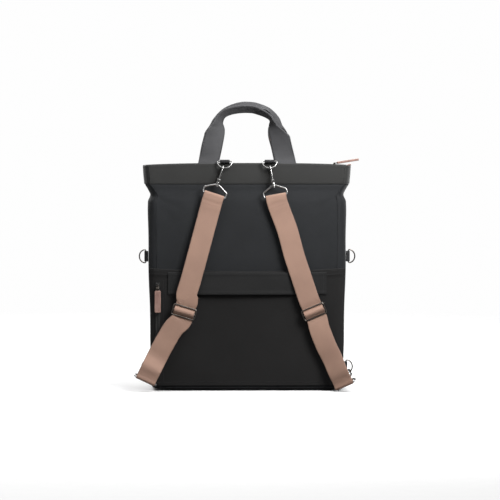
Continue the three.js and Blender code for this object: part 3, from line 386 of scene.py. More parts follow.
class Piece:
    """One mesh in the making: points in millimetres, faces with a map in millimetres and a material each."""

    def __init__(self):
        self.points = []
        self.count = 0
        self.faces = []
        self.maps = []
        self.looks = []

    def add(self, points, faces, maps, look=0):
        self.points.append(np.asarray(points, float).reshape(-1, 3))
        for face, face_map in zip(faces, maps):
            self.faces.append([int(k) + self.count for k in face])
            self.maps.extend(face_map)
            self.looks.append(look)
        self.count += len(self.points[-1])

    def grid(self, rings, around=False, along=False, caps=False, look=0, start=(0.0, 0.0)):
        """Quads over rings of equal count: around closes each ring, along joins the last ring to the first."""
        rings = np.asarray(rings, float)
        rows, columns = rings.shape[:2]
        closed_ring = np.concatenate([rings, rings[:, :1]], axis=1)
        across = np.concatenate([[0], np.cumsum(np.median(
            np.linalg.norm(np.diff(closed_ring, axis=1), axis=2), axis=0))]) + start[0]
        closed_way = np.concatenate([rings, rings[:1]], axis=0)
        way = np.concatenate([[0], np.cumsum(np.median(
            np.linalg.norm(np.diff(closed_way, axis=0), axis=2), axis=1))]) + start[1]
        i, j = np.meshgrid(np.arange(rows if along else rows - 1),
                           np.arange(columns if around else columns - 1), indexing="ij")
        i, j = i.ravel(), j.ravel()
        i2, j2 = (i + 1) % rows, (j + 1) % columns
        faces = np.stack([i * columns + j, i * columns + j2, i2 * columns + j2, i2 * columns + j], axis=1)
        maps = np.stack([
            np.stack([across[j], way[i]], 1), np.stack([across[j + 1], way[i]], 1),
            np.stack([across[j + 1], way[i + 1]], 1), np.stack([across[j], way[i + 1]], 1)], axis=1)
        faces, maps = list(faces), list(maps)
        if caps:
            ring_map = [(across[k], way[0]) for k in range(columns)]
            faces.append(np.arange(columns)[::-1])
            maps.append(ring_map[::-1])
            faces.append(np.arange(columns) + (rows - 1) * columns)
            maps.append(ring_map)
        self.add(rings.reshape(-1, 3), faces, maps, look)

    def moved(self, since, matrix):
        """Moves the batches of points added after a mark by a 4x4 matrix in millimetres."""
        m = np.array(matrix)
        for k in range(since, len(self.points)):
            self.points[k] = self.points[k] @ m[:3, :3].T + m[:3, 3]

    def make(self, name, looks, body="bag", replaces=(), smooth_angle=50, bevel=0):
        points = np.concatenate(self.points) * METRES
        mesh = bpy.data.meshes.new(name)
        mesh.from_pydata(points.tolist(), [], self.faces)
        layer = mesh.uv_layers.new(name=LAYER)
        layer.data.foreach_set("uv", np.asarray(self.maps, np.float32).ravel())
        for look in looks:
            mesh.materials.append(look)
        mesh.polygons.foreach_set("material_index", self.looks)
        mesh.validate()
        mesh.update()
        obj = bpy.data.objects.new(name, mesh)
        bpy.context.scene.collection.objects.link(obj)
        face_out(obj)
        mesh.shade_smooth()
        if bevel:
            edge = obj.modifiers.new("edges", "BEVEL")
            edge.width = bevel * METRES
            edge.segments = 2
            edge.limit_method = "ANGLE"
            edge.angle_limit = math.radians(40)
        if smooth_angle < 180:
            mesh.set_sharp_from_angle(angle=math.radians(smooth_angle))
        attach(obj, body)
        if replaces:
            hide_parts(*replaces)
        return obj


def face_out(obj):
    """Turns every face outwards. Each connected part of the mesh is handled on its own."""
    work = bmesh.new()
    work.from_mesh(obj.data)
    bmesh.ops.recalc_face_normals(work, faces=work.faces)
    work.to_mesh(obj.data)
    work.free()


def wire_rings(points, radius, flat, closed=False, sides=16, squash=1.0):
    """Round section along a line in a plane whose normal is flat. squash flattens it across the plane."""
    points = np.asarray(points, float)
    along = directions(points, closed)
    side = unit(np.cross(flat, along))
    angle = (np.arange(sides) + 0.5) / sides * 2 * math.pi
    return (points[:, None] + side[:, None] * (radius * np.cos(angle))[None, :, None]
            + np.asarray(flat, float)[None, None] * (radius * squash * np.sin(angle))[None, :, None])


def add_wire(piece, points, radius, flat, closed=False, sides=16, look=0, squash=1.0):
    rings = wire_rings(points, radius, flat, closed, sides, squash)
    piece.grid(rings, around=True, along=closed, caps=not closed, look=look)


def add_lathe(piece, profile, centre=(0, 0, 0), axis=UP, sides=28, look=0):
    """profile is a list of (radius, height) round an axis through centre."""
    axis = unit(axis)
    first = unit(np.cross(axis, WIDTH if abs(axis[0]) < 0.8 else DEPTH))
    second = np.cross(axis, first)
    angle = np.arange(sides) / sides * 2 * math.pi
    ring = np.cos(angle)[:, None] * first + np.sin(angle)[:, None] * second
    rings = [np.asarray(centre) + axis * h + ring * max(r, 0.02) for r, h in profile]
    piece.grid(np.array(rings), around=True, caps=True, look=look)


def add_slab(piece, outline_2d, low, high, look=0, origin=(0, 0, 0), first=WIDTH, second=UP, third=DEPTH):
    """A flat shape, given in the first and second directions, pulled from low to high in the third."""
    shape = np.asarray(outline_2d, float)
    base = np.asarray(origin) + shape[:, :1] * first + shape[:, 1:2] * second
    rings = np.array([base + np.asarray(third) * low, base + np.asarray(third) * high])
    piece.grid(rings, around=True, caps=True, look=look)


def webbing_section(width, thick, cells=12, crown=0.0):
    """Section of woven webbing as (across, face) points, with soft edges."""
    half = width / 2
    edge = thick / 2
    flat = np.linspace(-(half - edge), half - edge, cells + 1)
    rise = crown * (1 - (flat / half) ** 2)
    turn = np.radians(np.linspace(90, -90, 7))[1:-1]
    top = np.stack([flat, rise + edge], 1)
    right = np.stack([half - edge + edge * np.cos(turn), edge * np.sin(turn)], 1)
    bottom = np.stack([flat[::-1], rise[::-1] - edge], 1)
    left = np.stack([-(half - edge) - edge * np.cos(turn), -edge * np.sin(turn)], 1)
    return np.concatenate([top, right, bottom, left])


def add_ribbon(piece, points, across, normal, width, thick, cells=12, crown=0.0, look=0):
    """Webbing along stations: each has a point, its direction across and its face's normal."""
    points, across, normal = (np.asarray(a, float) for a in (points, across, normal))
    section = webbing_section(width, thick, cells, crown)
    rings = (points[:, None] + across[:, None] * section[None, :, :1]
             + normal[:, None] * section[None, :, 1:2])
    piece.grid(rings, around=True, caps=True, look=look, start=(-width / 2 + thick / 2, 0))


def tongue(piece, points, across, width, thick, cells=10, look=0):
    """Webbing whose middle line lies in a plane and whose width stands square to it."""
    points = np.asarray(points, float)
    side = np.broadcast_to(np.asarray(across, float), points.shape)
    normal = unit(np.cross(directions(points), side))
    add_ribbon(piece, points, side, normal, width, thick, cells, look=look)


def stitches(piece, points, normals, pitch=3.4, long=2.5, thread=0.34, sink=0.1, look=0):
    """A row of sewn stitches along a line. Each is a short thread with tapered ends."""
    points, normals = np.asarray(points, float), np.asarray(normals, float)
    run = lengths(points)
    count = int(run[-1] // pitch)
    if count < 1:
        return
    middle = (np.arange(count) + 0.5) * run[-1] / count
    centre = resample(points, middle)
    along = unit(resample(points, np.minimum(middle + 0.5, run[-1])) - resample(points, middle - 0.5))
    normal = unit(np.stack([np.interp(middle, run, normals[:, k]) for k in range(3)], axis=1))
    side = unit(np.cross(along, normal))
    angle = np.arange(6) / 6 * 2 * math.pi
    place = np.array([-0.5, -0.32, 0, 0.32, 0.5]) * long
    size = np.array([0.35, 0.9, 1.0, 0.9, 0.35]) * thread
    lift = np.array([-1.2, -0.2, 0, -0.2, -1.2]) * thread - sink + thread * 0.5
    for c, a, s, n in zip(centre, along, side, normal):
        rings = (c + a * place[:, None, None] + s * (size[:, None] * np.cos(angle))[:, :, None]
                 + n * (size[:, None] * np.sin(angle) * 0.8 + lift[:, None])[:, :, None])
        piece.grid(rings, around=True, caps=True, look=look)


# Materials

def colour(r, g, b):
    def one(c):
        c /= 255
        return c / 12.92 if c <= 0.04045 else ((c + 0.055) / 1.055) ** 2.4
    return (one(r), one(g), one(b), 1.0)


class Look:
    """A material in the making."""

    def __init__(self, name, **settings):
        self.material = bpy.data.materials.new(name)
        self.material.use_nodes = True
        self.tree = self.material.node_tree
        self.tree.nodes.clear()
        self.shader = self.tree.nodes.new("ShaderNodeBsdfPrincipled")
        output = self.tree.nodes.new("ShaderNodeOutputMaterial")
        self.tree.links.new(self.shader.outputs["BSDF"], output.inputs["Surface"])
        for key, value in settings.items():
            self.shader.inputs[key.replace("_", " ")].default_value = value

    def node(self, kind, inputs=None, **settings):
        made = self.tree.nodes.new(kind)
        for key, value in settings.items():
            setattr(made, key, value)
        for key, value in (inputs or {}).items():
            self.feed(made.inputs[key], value)
        return made

    def feed(self, socket, value):
        if isinstance(value, bpy.types.NodeSocket):
            self.tree.links.new(value, socket)
        else:
            socket.default_value = value

    def math(self, operation, a, b=0.0, c=0.0, clamp=False):
        made = self.node("ShaderNodeMath", {0: a, 1: b, 2: c}, operation=operation)
        made.use_clamp = clamp
        return made.outputs[0]

    def cloth(self):
        """The piece's own map in millimetres: across and along."""
        place = self.node("ShaderNodeUVMap", uv_map=LAYER).outputs["UV"]
        parts = self.node("ShaderNodeSeparateXYZ", {0: place})
        return parts.outputs[0], parts.outputs[1]

    def space(self):
        return self.node("ShaderNodeTexCoord").outputs["Object"]

    def noise(self, scale, detail=3.0, rough=0.55, vector=None, stretch=None):
        place = self.space() if vector is None else vector
        if stretch is not None:
            place = self.node("ShaderNodeMapping", {"Vector": place, "Scale": stretch}).outputs[0]
        made = self.node("ShaderNodeTexNoise", {"Vector": place, "Scale": scale, "Detail": detail,
                                                "Roughness": rough})
        return made.outputs["Fac"]

    def shades(self, factor, stops):
        made = self.node("ShaderNodeValToRGB", {"Fac": factor})
        ramp = made.color_ramp
        for i, (place, shade) in enumerate(stops):
            stop = ramp.elements[i] if i < 2 else ramp.elements.new(place)
            stop.position = place
            stop.color = shade
        return made.outputs["Color"]

    def blend(self, factor, a, b, kind="MIX"):
        made = self.node("ShaderNodeMix", data_type="RGBA", blend_type=kind)
        self.feed(made.inputs["Factor"], factor)
        self.feed([s for s in made.inputs if s.name == "A" and s.type == "RGBA"][0], a)
        self.feed([s for s in made.inputs if s.name == "B" and s.type == "RGBA"][0], b)
        return [s for s in made.outputs if s.type == "RGBA"][0]

    def relief(self, height, depth, normal=None, strength=1.0):
        """depth is how far the surface moves for a height of 1, in millimetres."""
        made = self.node("ShaderNodeBump", {"Height": height, "Distance": depth * METRES,
                                            "Strength": strength})
        if normal is not None:
            self.feed(made.inputs["Normal"], normal)
        return made.outputs["Normal"]

    def set(self, name, value):
        self.feed(self.shader.inputs[name], value)


def plain_weave(look, across, along, pitch):
    """Height of a plain weave, 0 to 1: threads that pass over and under each other."""
    u = look.math("SINE", look.math("MULTIPLY", across, math.pi / pitch))
    v = look.math("SINE", look.math("MULTIPLY", along, math.pi / pitch))
    return look.math("MULTIPLY_ADD", look.math("MULTIPLY", u, v), 0.5, 0.5)


def twill_weave(look, across, along, pitch):
    """Height of a twill: fine diagonal ribs with cross threads."""
    slant = look.math("ADD", look.math("MULTIPLY", across, 2 * math.pi / pitch),
                      look.math("MULTIPLY", along, 2 * math.pi / pitch))
    rib = look.math("MULTIPLY_ADD", look.math("SINE", slant), 0.35, 0.5)
    cross = look.math("SINE", look.math("MULTIPLY", along, 4 * math.pi / pitch))
    return look.math("MULTIPLY_ADD", cross, 0.12, rib)


def ribbed_weave(look, across, along, pitch):
    """Height of webbing: ribs across the width made of slanting picks that change side."""
    zig = look.math("PINGPONG", across, 3.0)
    rows = look.math("ADD", along, look.math("MULTIPLY", zig, 0.35))
    rib = look.math("ABSOLUTE", look.math("SINE", look.math("MULTIPLY", rows, math.pi / pitch)))
    ends = look.math("SINE", look.math("MULTIPLY", across, 2 * math.pi / 0.9))
    return look.math("MULTIPLY_ADD", ends, 0.18, rib)


def cloth_look(name, dark, light, weave, pitch, depth, rough, sheen, spread=9.0, fleck=0.35, level=0.3):
    """Woven cloth: thread colours that vary, painted shade in the weave's hollows so the thread tops read lighter, a
    woven relief and a faint crumple.
    """
    look = Look(name)
    across, along = look.cloth()
    height = weave(look, across, along, pitch)
    wide = look.noise(spread, 4.0)
    fine = look.noise(900.0, 2.0)
    slub = look.noise(160.0, 3.0, stretch=(1.0, 1.0, 7.0))
    base = look.shades(wide, [(0.3, dark), (0.7, light)])
    # Painted shade: the weave's height lightens the thread tops and darkens the hollows between them; the fine noise
    # is thread tone.
    top = look.math("MULTIPLY_ADD", height, 0.28, look.math("MULTIPLY_ADD", fine, fleck, 0.72 - fleck / 2))
    shade = look.math("MULTIPLY_ADD", slub, 0.16, look.math("SUBTRACT", top, 0.08))
    grey = look.node("ShaderNodeCombineColor", {0: shade, 1: shade, 2: shade}).outputs[0]
    look.set("Base Color", look.blend(1.0, base, grey, "MULTIPLY"))
    look.set("Roughness", look.math("MULTIPLY_ADD", slub, 0.14, rough - 0.07))
    crumple = look.relief(look.noise(55.0, 3.0), 0.25)
    look.set("Normal", look.relief(height, depth, crumple))
    look.shader.inputs["Sheen Weight"].default_value = sheen
    look.shader.inputs["Sheen Roughness"].default_value = 0.45
    look.shader.inputs["Specular IOR Level"].default_value = level
    return look.material


def strap_look(name, dark, light, half, rough=0.62, depth=0.16):
    """Blush or black webbing, with painted shade darkening a narrow strip along both edges and the hollows between its
    ribs.
    """
    look = Look(name)
    across, along = look.cloth()
    height = ribbed_weave(look, across, along, 1.25)
    wide = look.noise(14.0, 4.0)
    fine = look.noise(700.0, 2.0)
    base = look.shades(wide, [(0.32, dark), (0.68, light)])
    # Painted shade: a 1.5 mm strip at each edge is darkened, standing in for the shade where the webbing's edge rounds
    # away.
    edge = look.math("GREATER_THAN", look.math("ABSOLUTE", across), half - 1.5)
    # Painted shade: the weave's height lightens the rib tops and darkens the hollows between them.
    top = look.math("MULTIPLY_ADD", height, 0.2, look.math("MULTIPLY_ADD", fine, 0.16, 0.72))
    shade = look.math("MULTIPLY_ADD", edge, -0.16, top)
    grey = look.node("ShaderNodeCombineColor", {0: shade, 1: shade, 2: shade}).outputs[0]
    look.set("Base Color", look.blend(1.0, base, grey, "MULTIPLY"))
    look.set("Roughness", look.math("MULTIPLY_ADD", fine, 0.12, rough - 0.06))
    look.set("Normal", look.relief(height, depth))
    look.shader.inputs["Sheen Weight"].default_value = 0.25
    look.shader.inputs["Sheen Roughness"].default_value = 0.4
    look.shader.inputs["Specular IOR Level"].default_value = 0.35
    return look.material


def leather_look(name, dark, light, depth=0.12):
    look = Look(name)
    grain = look.node("ShaderNodeTexVoronoi", {"Vector": look.space(), "Scale": 1100.0},
                      feature="DISTANCE_TO_EDGE").outputs["Distance"]
    cell = look.math("MULTIPLY", grain, 3.0, clamp=True)
    wide = look.noise(60.0, 4.0)
    look.set("Base Color", look.blend(look.math("MULTIPLY", look.math("SUBTRACT", 1.0, cell), 0.3),
                                      look.shades(wide, [(0.3, dark), (0.7, light)]), dark))
    look.set("Roughness", look.math("MULTIPLY_ADD", wide, 0.2, 0.38))
    look.set("Normal", look.relief(cell, depth, look.relief(look.noise(240.0, 3.0), 0.08)))
    look.shader.inputs["Specular IOR Level"].default_value = 0.45
    return look.material


def metal_look(name, dark, light, rough, brushed=False):
    """Plated metal: faint clouding, hairline marks and small changes in gloss."""
    look = Look(name, Metallic=1.0)
    cloud = look.noise(90.0, 4.0)
    hair = look.noise(420.0, 3.0, stretch=(1.0, 1.0, 14.0) if brushed else (6.0, 1.0, 1.0))
    look.set("Base Color", look.shades(cloud, [(0.3, dark), (0.7, light)]))
    look.set("Roughness", look.math("MULTIPLY_ADD", hair, 0.18, rough - 0.06))
    look.set("Normal", look.relief(hair, 0.02))
    return look.material


def plastic_look(name, dark, light, rough=0.45):
    look = Look(name)
    cloud = look.noise(300.0, 3.0)
    look.set("Base Color", look.shades(cloud, [(0.3, dark), (0.7, light)]))
    look.set("Roughness", look.math("MULTIPLY_ADD", cloud, 0.2, rough - 0.1))
    look.set("Normal", look.relief(cloud, 0.02))
    return look.material


def thread_look(name, dark, light):
    """Twisted thread, with painted shade in the grooves of the twist."""
    look = Look(name)
    across, along = look.cloth()
    twist = look.math("SINE", look.math("ADD", look.math("MULTIPLY", along, 14.0),
                                        look.math("MULTIPLY", across, 9.0)))
    # Painted shade: the dark bands along the twist stand for the shade in the grooves between the plies.
    look.set("Base Color", look.shades(look.math("MULTIPLY_ADD", twist, 0.5, 0.5), [(0.1, dark), (0.9, light)]))
    look.set("Roughness", look.math("MULTIPLY_ADD", twist, 0.08, 0.6))
    look.set("Normal", look.relief(twist, 0.05))
    look.shader.inputs["Specular IOR Level"].default_value = 0.3
    return look.material


body_cloth = cloth_look("body_cloth", colour(22, 24, 27), colour(29, 31, 34), twill_weave, 1.0, 0.09, 0.72, 0.18)
band_cloth = cloth_look("band_cloth", colour(46, 46, 45), colour(54, 54, 53), plain_weave, 0.9, 0.1, 0.66, 0.22)
pocket_cloth = cloth_look("pocket_cloth", colour(22, 21, 21), colour(28, 27, 27), plain_weave, 0.7, 0.07, 0.8, 0.1)
inner_cloth = cloth_look("inner_cloth", colour(30, 30, 32), colour(38, 38, 40), plain_weave, 0.6, 0.05, 0.85, 0.1)
# The handles' base colour is much lighter than the tabs' black webbing: a painted highlight for the bright reflection
# on the handle legs.
black_webbing = strap_look("black_webbing", colour(66, 66, 68), colour(80, 80, 82), webbing_width / 2)
blush_webbing = strap_look("blush_webbing", colour(158, 126, 110), colour(172, 138, 120), webbing_width / 2)
lining_cloth = strap_look("lining_cloth", colour(190, 150, 136), colour(206, 168, 152), lining_width / 2)
tab_webbing_look = strap_look("tab_webbing", colour(34, 34, 36), colour(44, 44, 46), side_tab_width / 2)
blush_leather = leather_look("blush_leather", colour(136, 104, 95), colour(168, 136, 125))
bright_metal = metal_look("bright_metal", colour(150, 149, 148), colour(192, 191, 190), 0.24)
dark_metal = metal_look("dark_metal", colour(92, 86, 82), colour(126, 120, 114), 0.26, brushed=True)
zip_plastic = plastic_look("zip_plastic", colour(26, 26, 27), colour(36, 36, 37))
dark_thread = thread_look("dark_thread", colour(30, 30, 31), colour(48, 48, 49))
# The strap's thread is coloured darker than the blush webbing as painted shade along the sewn rows.
strap_thread = thread_look("strap_thread", colour(120, 88, 76), colour(146, 112, 98))
blush_thread = thread_look("blush_thread", colour(176, 138, 120), colour(212, 178, 160))


# Camera and light

def aim(obj, place, target):
    obj.location = Vector(place)
    obj.rotation_mode = "QUATERNION"
    obj.rotation_quaternion = (Vector(target) - Vector(place)).to_track_quat("-Z", "Y")


def camera():
    """A long lens a little left of square on and a little above level, as the photograph was taken."""
    lens, sensor, field = 200.0, 36.0, 0.921
    azimuth, elevation = math.radians(-0.9), math.radians(2.5)
    target = Vector((0.0050, -0.062, 0.2601))
    back = Vector((math.sin(azimuth) * math.cos(elevation), -math.cos(azimuth) * math.cos(elevation),
                   math.sin(elevation)))
    data = bpy.data.cameras.new("camera")
    data.lens = lens
    data.sensor_width = sensor
    obj = bpy.data.objects.new("camera", data)
    bpy.context.scene.collection.objects.link(obj)
    aim(obj, target + back * (field / 2 / (sensor / 2 / lens)), target)
    data.clip_start, data.clip_end = 0.1, 100
    bpy.context.scene.camera = obj


def area_light(name, place, target, size, power, tint=(1, 1, 1)):
    data = bpy.data.lights.new(name, "AREA")
    data.shape = "RECTANGLE"
    data.size, data.size_y = size
    data.energy = power
    data.color = tint
    obj = bpy.data.objects.new(name, data)
    bpy.context.scene.collection.objects.link(obj)
    aim(obj, place, target)


def lights():
    area_light("key", (0.57, -0.78, 0.95), (0.03, 0, 0.39), (0.5, 0.5), 17)
    area_light("fill", (-2.2, -2.2, 1.2), (0, 0, 0.2), (1.6, 1.6), 9)
    area_light("overhead", (0, -0.2, 2.6), (0, 0, 0.2), (2.2, 2.2), 42)
    area_light("back", (-0.8, 2.4, 1.9), (0, 0, 0.25), (1.8, 1.2), 60)


def world():
    """White where the camera looks past the object. The light that it gives is softer, and dimmer low down."""
    made = bpy.data.worlds.new("studio")
    made.use_nodes = True
    tree = made.node_tree
    tree.nodes.clear()
    out = tree.nodes.new("ShaderNodeOutputWorld")
    seen, given = (tree.nodes.new("ShaderNodeBackground") for _ in range(2))
    seen.inputs["Color"].default_value = (0.99, 0.99, 0.99, 1)
    seen.inputs["Strength"].default_value = 1.0
    place = tree.nodes.new("ShaderNodeTexCoord")
    parts = tree.nodes.new("ShaderNodeSeparateXYZ")
    tree.links.new(place.outputs["Generated"], parts.inputs[0])
    ramp = tree.nodes.new("ShaderNodeValToRGB")
    ramp.color_ramp.elements[0].position = 0.0
    ramp.color_ramp.elements[0].color = (0.12, 0.12, 0.12, 1)
    ramp.color_ramp.elements[1].position = 0.9
    ramp.color_ramp.elements[1].color = (1.0, 1.0, 1.0, 1)
    tree.links.new(parts.outputs[2], ramp.inputs["Fac"])
    tree.links.new(ramp.outputs["Color"], given.inputs["Color"])
    given.inputs["Strength"].default_value = 0.42
    path = tree.nodes.new("ShaderNodeLightPath")
    mix = tree.nodes.new("ShaderNodeMixShader")
    tree.links.new(path.outputs["Is Camera Ray"], mix.inputs[0])
    tree.links.new(given.outputs[0], mix.inputs[1])
    tree.links.new(seen.outputs[0], mix.inputs[2])
    tree.links.new(mix.outputs[0], out.inputs["Surface"])
    bpy.context.scene.world = made


def floor():
    """A disc, pale to the camera and dimmer as a reflector, that fades out so that no horizon shows."""
    sides = 96
    radius = 2600.0
    piece = Piece()
    angle = np.arange(sides) / sides * 2 * math.pi
    ring = np.stack([np.cos(angle), np.sin(angle), np.zeros(sides)], 1)
    piece.grid(np.array([ring * r for r in np.linspace(20, radius, 12)]), around=True)
    piece.add(ring * 20, [range(sides)], [[(0, 0)] * sides])
    look = Look("floor", Roughness=0.9)
    look.shader.inputs["Specular IOR Level"].default_value = 0.0
    place = look.node("ShaderNodeVectorMath", {0: look.space()}, operation="LENGTH").outputs["Value"]
    fade = look.node("ShaderNodeMapRange", {"Value": place, "From Min": 0.55, "From Max": 2.3,
                                            "To Min": 1.0, "To Max": 0.0},
                     interpolation_type="SMOOTHSTEP").outputs[0]
    speck = look.noise(40.0, 2.0)
    pale = look.shades(speck, [(0.3, (0.90, 0.90, 0.90, 1)), (0.7, (0.92, 0.92, 0.92, 1))])
    seen = look.node("ShaderNodeLightPath", {}).outputs["Is Camera Ray"]
    look.set("Base Color", look.blend(seen, (0.16, 0.16, 0.16, 1), pale))
    look.set("Alpha", fade)
    points = np.concatenate(piece.points) * METRES
    points[:, 2] = -0.0002
    mesh = bpy.data.meshes.new("floor")
    mesh.from_pydata(points.tolist(), [], piece.faces)
    mesh.materials.append(look.material)
    obj = bpy.data.objects.new("floor", mesh)
    bpy.context.scene.collection.objects.link(obj)


scene = bpy.context.scene
scene.view_settings.view_transform = "Standard"
scene.view_settings.look = "None"
camera()
lights()
world()
floor()


# Bag body

LONG, SHORT, TURN = 60, 16, 10
AROUND = 2 * LONG + 2 * SHORT + 4 * TURN
KEYS = ("wide", "deep", "turn_x", "turn_y")
SCALE = dict(wide=half_width, deep=half_depth, turn_x=half_width, turn_y=half_depth)


def body_section(height):
    at = [row["up"] * body_height for row in BODY_ROWS]
    return [float(monotone(at, [row[key] * SCALE[key] for row in BODY_ROWS], height)) for key in KEYS]


def band_section(share):
    return [lerp(BAND_ROWS[0][key], BAND_ROWS[1][key], share) * SCALE[key] for key in KEYS]


def outline(section, offset, height):
    """Plan outline at one height, anticlockwise from the left end of the near side."""
    wide, deep = section[0] + offset, section[1] + offset
    turn_x, turn_y = max(section[2] + offset, 1), max(section[3] + offset, 1)
    x, y = wide - turn_x, deep - turn_y

    def straight(a, b, steps):
        t = np.arange(steps)[:, None] / steps
        return np.asarray(a) + (np.asarray(b) - np.asarray(a)) * t

    def turn(cx, cy, start):
        angle = start + np.arange(TURN) / TURN * math.pi / 2
        return np.stack([cx + turn_x * np.cos(angle), cy + turn_y * np.sin(angle)], 1)

    flat = np.concatenate([
        straight((-x, -deep), (x, -deep), LONG), turn(x, -y, -math.pi / 2),
        straight((wide, -y), (wide, y), SHORT), turn(x, y, 0),
        straight((x, deep), (-x, deep), LONG), turn(-x, y, math.pi / 2),
        straight((-wide, y), (-wide, -y), SHORT), turn(-x, -y, math.pi)])
    return np.column_stack([flat, np.full(len(flat), float(height))])


def puff(x, z, side):
    """How far the near (-1) or far (1) panel stands proud of the plain form, in millimetres."""
    inside = 1 - smooth(100, 166, np.abs(x))
    level = smooth(0, 60, z) * (1 - smooth(300, body_height, z))
    swell = 1.2 * inside * level
    drift = 0.5 * np.sin(x / 47 + 1.3 * side) * np.sin(z / 61 + 0.6) + 0.3 * np.sin((x + z * 0.6) / 29 + side)
    drape = 0.35 * np.sin((x * 0.8 - z) / 17 + 0.8 * np.sin(z / 40)) * smooth(225, 260, z)
    return swell + (drift + drape) * inside * level


def creases(x, y, z):
    """Soft folds that run from the gusset under the band, in millimetres."""
    total = np.zeros_like(x)
    for end in (-1, 1):
        for angle, reach, size in ((28, 70, 1.0), (52, 95, 0.9), (74, 60, 0.6)):
            turn = math.radians(angle)
            dx, dz = end * 176 - x, 362 - z
            run = end * dx * math.cos(turn) + dz * math.sin(turn)
            off = -end * dx * math.sin(turn) + dz * math.cos(turn)
            fade = smooth(0, 14, run) * (1 - smooth(reach * 0.35, reach, run))
            total += size * fade * np.exp(-(off / (3.5 + run * 0.08)) ** 2)
    return total


def sewn_dent(height):
    """A shallow dent where the panels are sewn to the band and the base."""
    return -0.8 * np.exp(-((height - body_height) / 2.2) ** 2) - 0.7 * np.exp(-((height - 6) / 2.0) ** 2)


def body():
    rows = []
    heights = []
    base = body_section(BODY_ROWS[0]["up"] * body_height)
    for i in range(10):
        angle = i / 10 * math.pi / 2
        inset = 1 - math.sin(angle)
        section = [base[0] - base_round_wide * inset, base[1] - base_round_deep * inset, base[2], base[3]]
        heights.append(base_round_high * (1 - math.cos(angle)))
        rows.append(outline(section, 0, heights[-1]))
    for height in np.concatenate([np.linspace(BODY_ROWS[0]["up"] * body_height, 330, 66)[:-1],
                                  np.linspace(330, body_height, 30)]):
        heights.append(float(height))
        rows.append(outline(body_section(height), 0, height))
    rings = np.array(rows)
    x, y, z = rings[..., 0], rings[..., 1], rings[..., 2]
    near, far = np.zeros(AROUND), np.zeros(AROUND)
    near[: LONG + 1] = 1
    start = LONG + SHORT + 2 * TURN
    far[start: start + LONG + 1] = 1
    out = np.zeros_like(rings)
    out[..., 1] = -near * puff(x, z, -1) + far * puff(x, z, 1)
    fold = creases(x, y, z)
    out[..., 1] += near * fold - far * fold
    side = np.where(np.abs(x) > half_width * 0.9, np.sign(x), 0) * (1 - near) * (1 - far)
    out[..., 0] += side * (0.5 * np.sin(z / 23 + y / 30) * smooth(60, 100, z) * (1 - smooth(330, 350, z)))
    # The gusset's centre line is creased inwards below the band.
    out[..., 0] -= side * 2.4 * np.exp(-(y / 7) ** 2) * smooth(300, 355, z)
    inward = unit(np.stack([x / half_width**2, y / half_depth**2, np.zeros_like(x)], 2))
    out += inward * sewn_dent(z)[..., None] * 0.8
    piece = Piece()
    piece.grid(rings + out, around=True)
    floor_ring = rings[0]
    inner = np.array([floor_ring * (1, 1, 1) * [s, s, 1] for s in (1.0, 0.97, 0.7, 0.35)])
    piece.grid(inner, around=True, look=1)
    piece.add(inner[-1], [range(AROUND)], [[(p[0], p[1]) for p in inner[-1]]], look=1)
    merge = piece.make("bag_body", [body_cloth, pocket_cloth], replaces=["bag_body"],
                       smooth_angle=60)
    weld = merge.modifiers.new("weld", "WELD")
    weld.merge_threshold = 0.02 * METRES
    wall = merge.modifiers.new("wall", "SOLIDIFY")
    wall.thickness = fabric * METRES
    wall.offset = -1
    return rings + out


def mouth(x):
    return mouth_height - band_sag * np.abs(x / (half_width * BAND_ROWS[1]["wide"])) ** 3


body_rings = body()


def seam_piping():
    """Corded seams: up both near corners, both far corners, and round the base."""
    piece = Piece()
    columns = [0, LONG, LONG + SHORT + 2 * TURN, 2 * LONG + SHORT + 2 * TURN]
    for column in columns:
        line = body_rings[8:-1, column]
        normal = unit(vec(0, np.sign(line[0, 1]), 0))
        lifted = line + normal * 0.15
        add_wire(piece, lifted, 0.75, WIDTH, sides=8)
    ring = body_rings[7] + unit(body_rings[7] * [1, 1, 0]) * 0.2
    add_wire(piece, ring, 0.8, UP, closed=True, sides=8)
    piece.make("seam_piping", [body_cloth])


seam_piping()


# Band round the mouth, its closing panel and zip

def band():
    piece = Piece()
    bottom = body_height + gap
    outer, inner = [], []
    for share in np.linspace(0, 1, 15):
        crown = 0.5 * math.sin(math.pi * share)
        section = band_section(share)
        for offset, rings in ((crown, outer), (crown - fabric, inner)):
            ring = outline(section, offset, 0)
            ring[:, 2] = bottom + (mouth(ring[:, 0]) - bottom) * share
            rings.append(ring)
    top_outer, top_inner = outer[-1], inner[-1]
    middle = (top_outer + top_inner) / 2
    rim = []
    for angle in np.radians(np.linspace(0, 180, 7))[1:-1]:
        ring = middle + (top_outer - middle) * math.cos(angle)
        ring[:, 2] += 0.8 * math.sin(angle)
        rim.append(ring)
    low_middle = (outer[0] + inner[0]) / 2
    hem = []
    for angle in np.radians(np.linspace(180, 360, 5))[1:-1]:
        ring = low_middle + (outer[0] - low_middle) * math.cos(angle)
        ring[:, 2] += 0.25 * math.sin(angle)
        hem.append(ring)
    piece.grid(np.array(outer + rim + inner[::-1] + hem), around=True, along=True)
    piece.make("top_band", [band_cloth], replaces=["top_band"], smooth_angle=60)
    thread = Piece()
    for share in (0.9, 0.08):
        ring = outline(band_section(share), 0.12, 0)
        ring[:, 2] = bottom + (mouth(ring[:, 0]) - bottom) * share
        line = evenly(np.vstack([ring, ring[:1]]), 2.0)
        stitches(thread, line, unit(np.cross(directions(line), UP)))
    thread.make("band_stitching", [dark_thread])
    # The near and far panels are joined to the ends along a raised seam at each corner.
    seams = Piece()
    for column in (0, LONG, LONG + SHORT + 2 * TURN, 2 * LONG + SHORT + 2 * TURN):
        line = np.array([ring[column] for ring in outer[:-1]])
        line = line + unit(line * [0, 1, 0]) * 0.1
        add_wire(seams, line, 0.65, WIDTH, sides=8)
    seams.make("band_seams", [band_cloth])


band()


def ridge_height(x):
    return mouth(x) - tape_recess + tape_crown


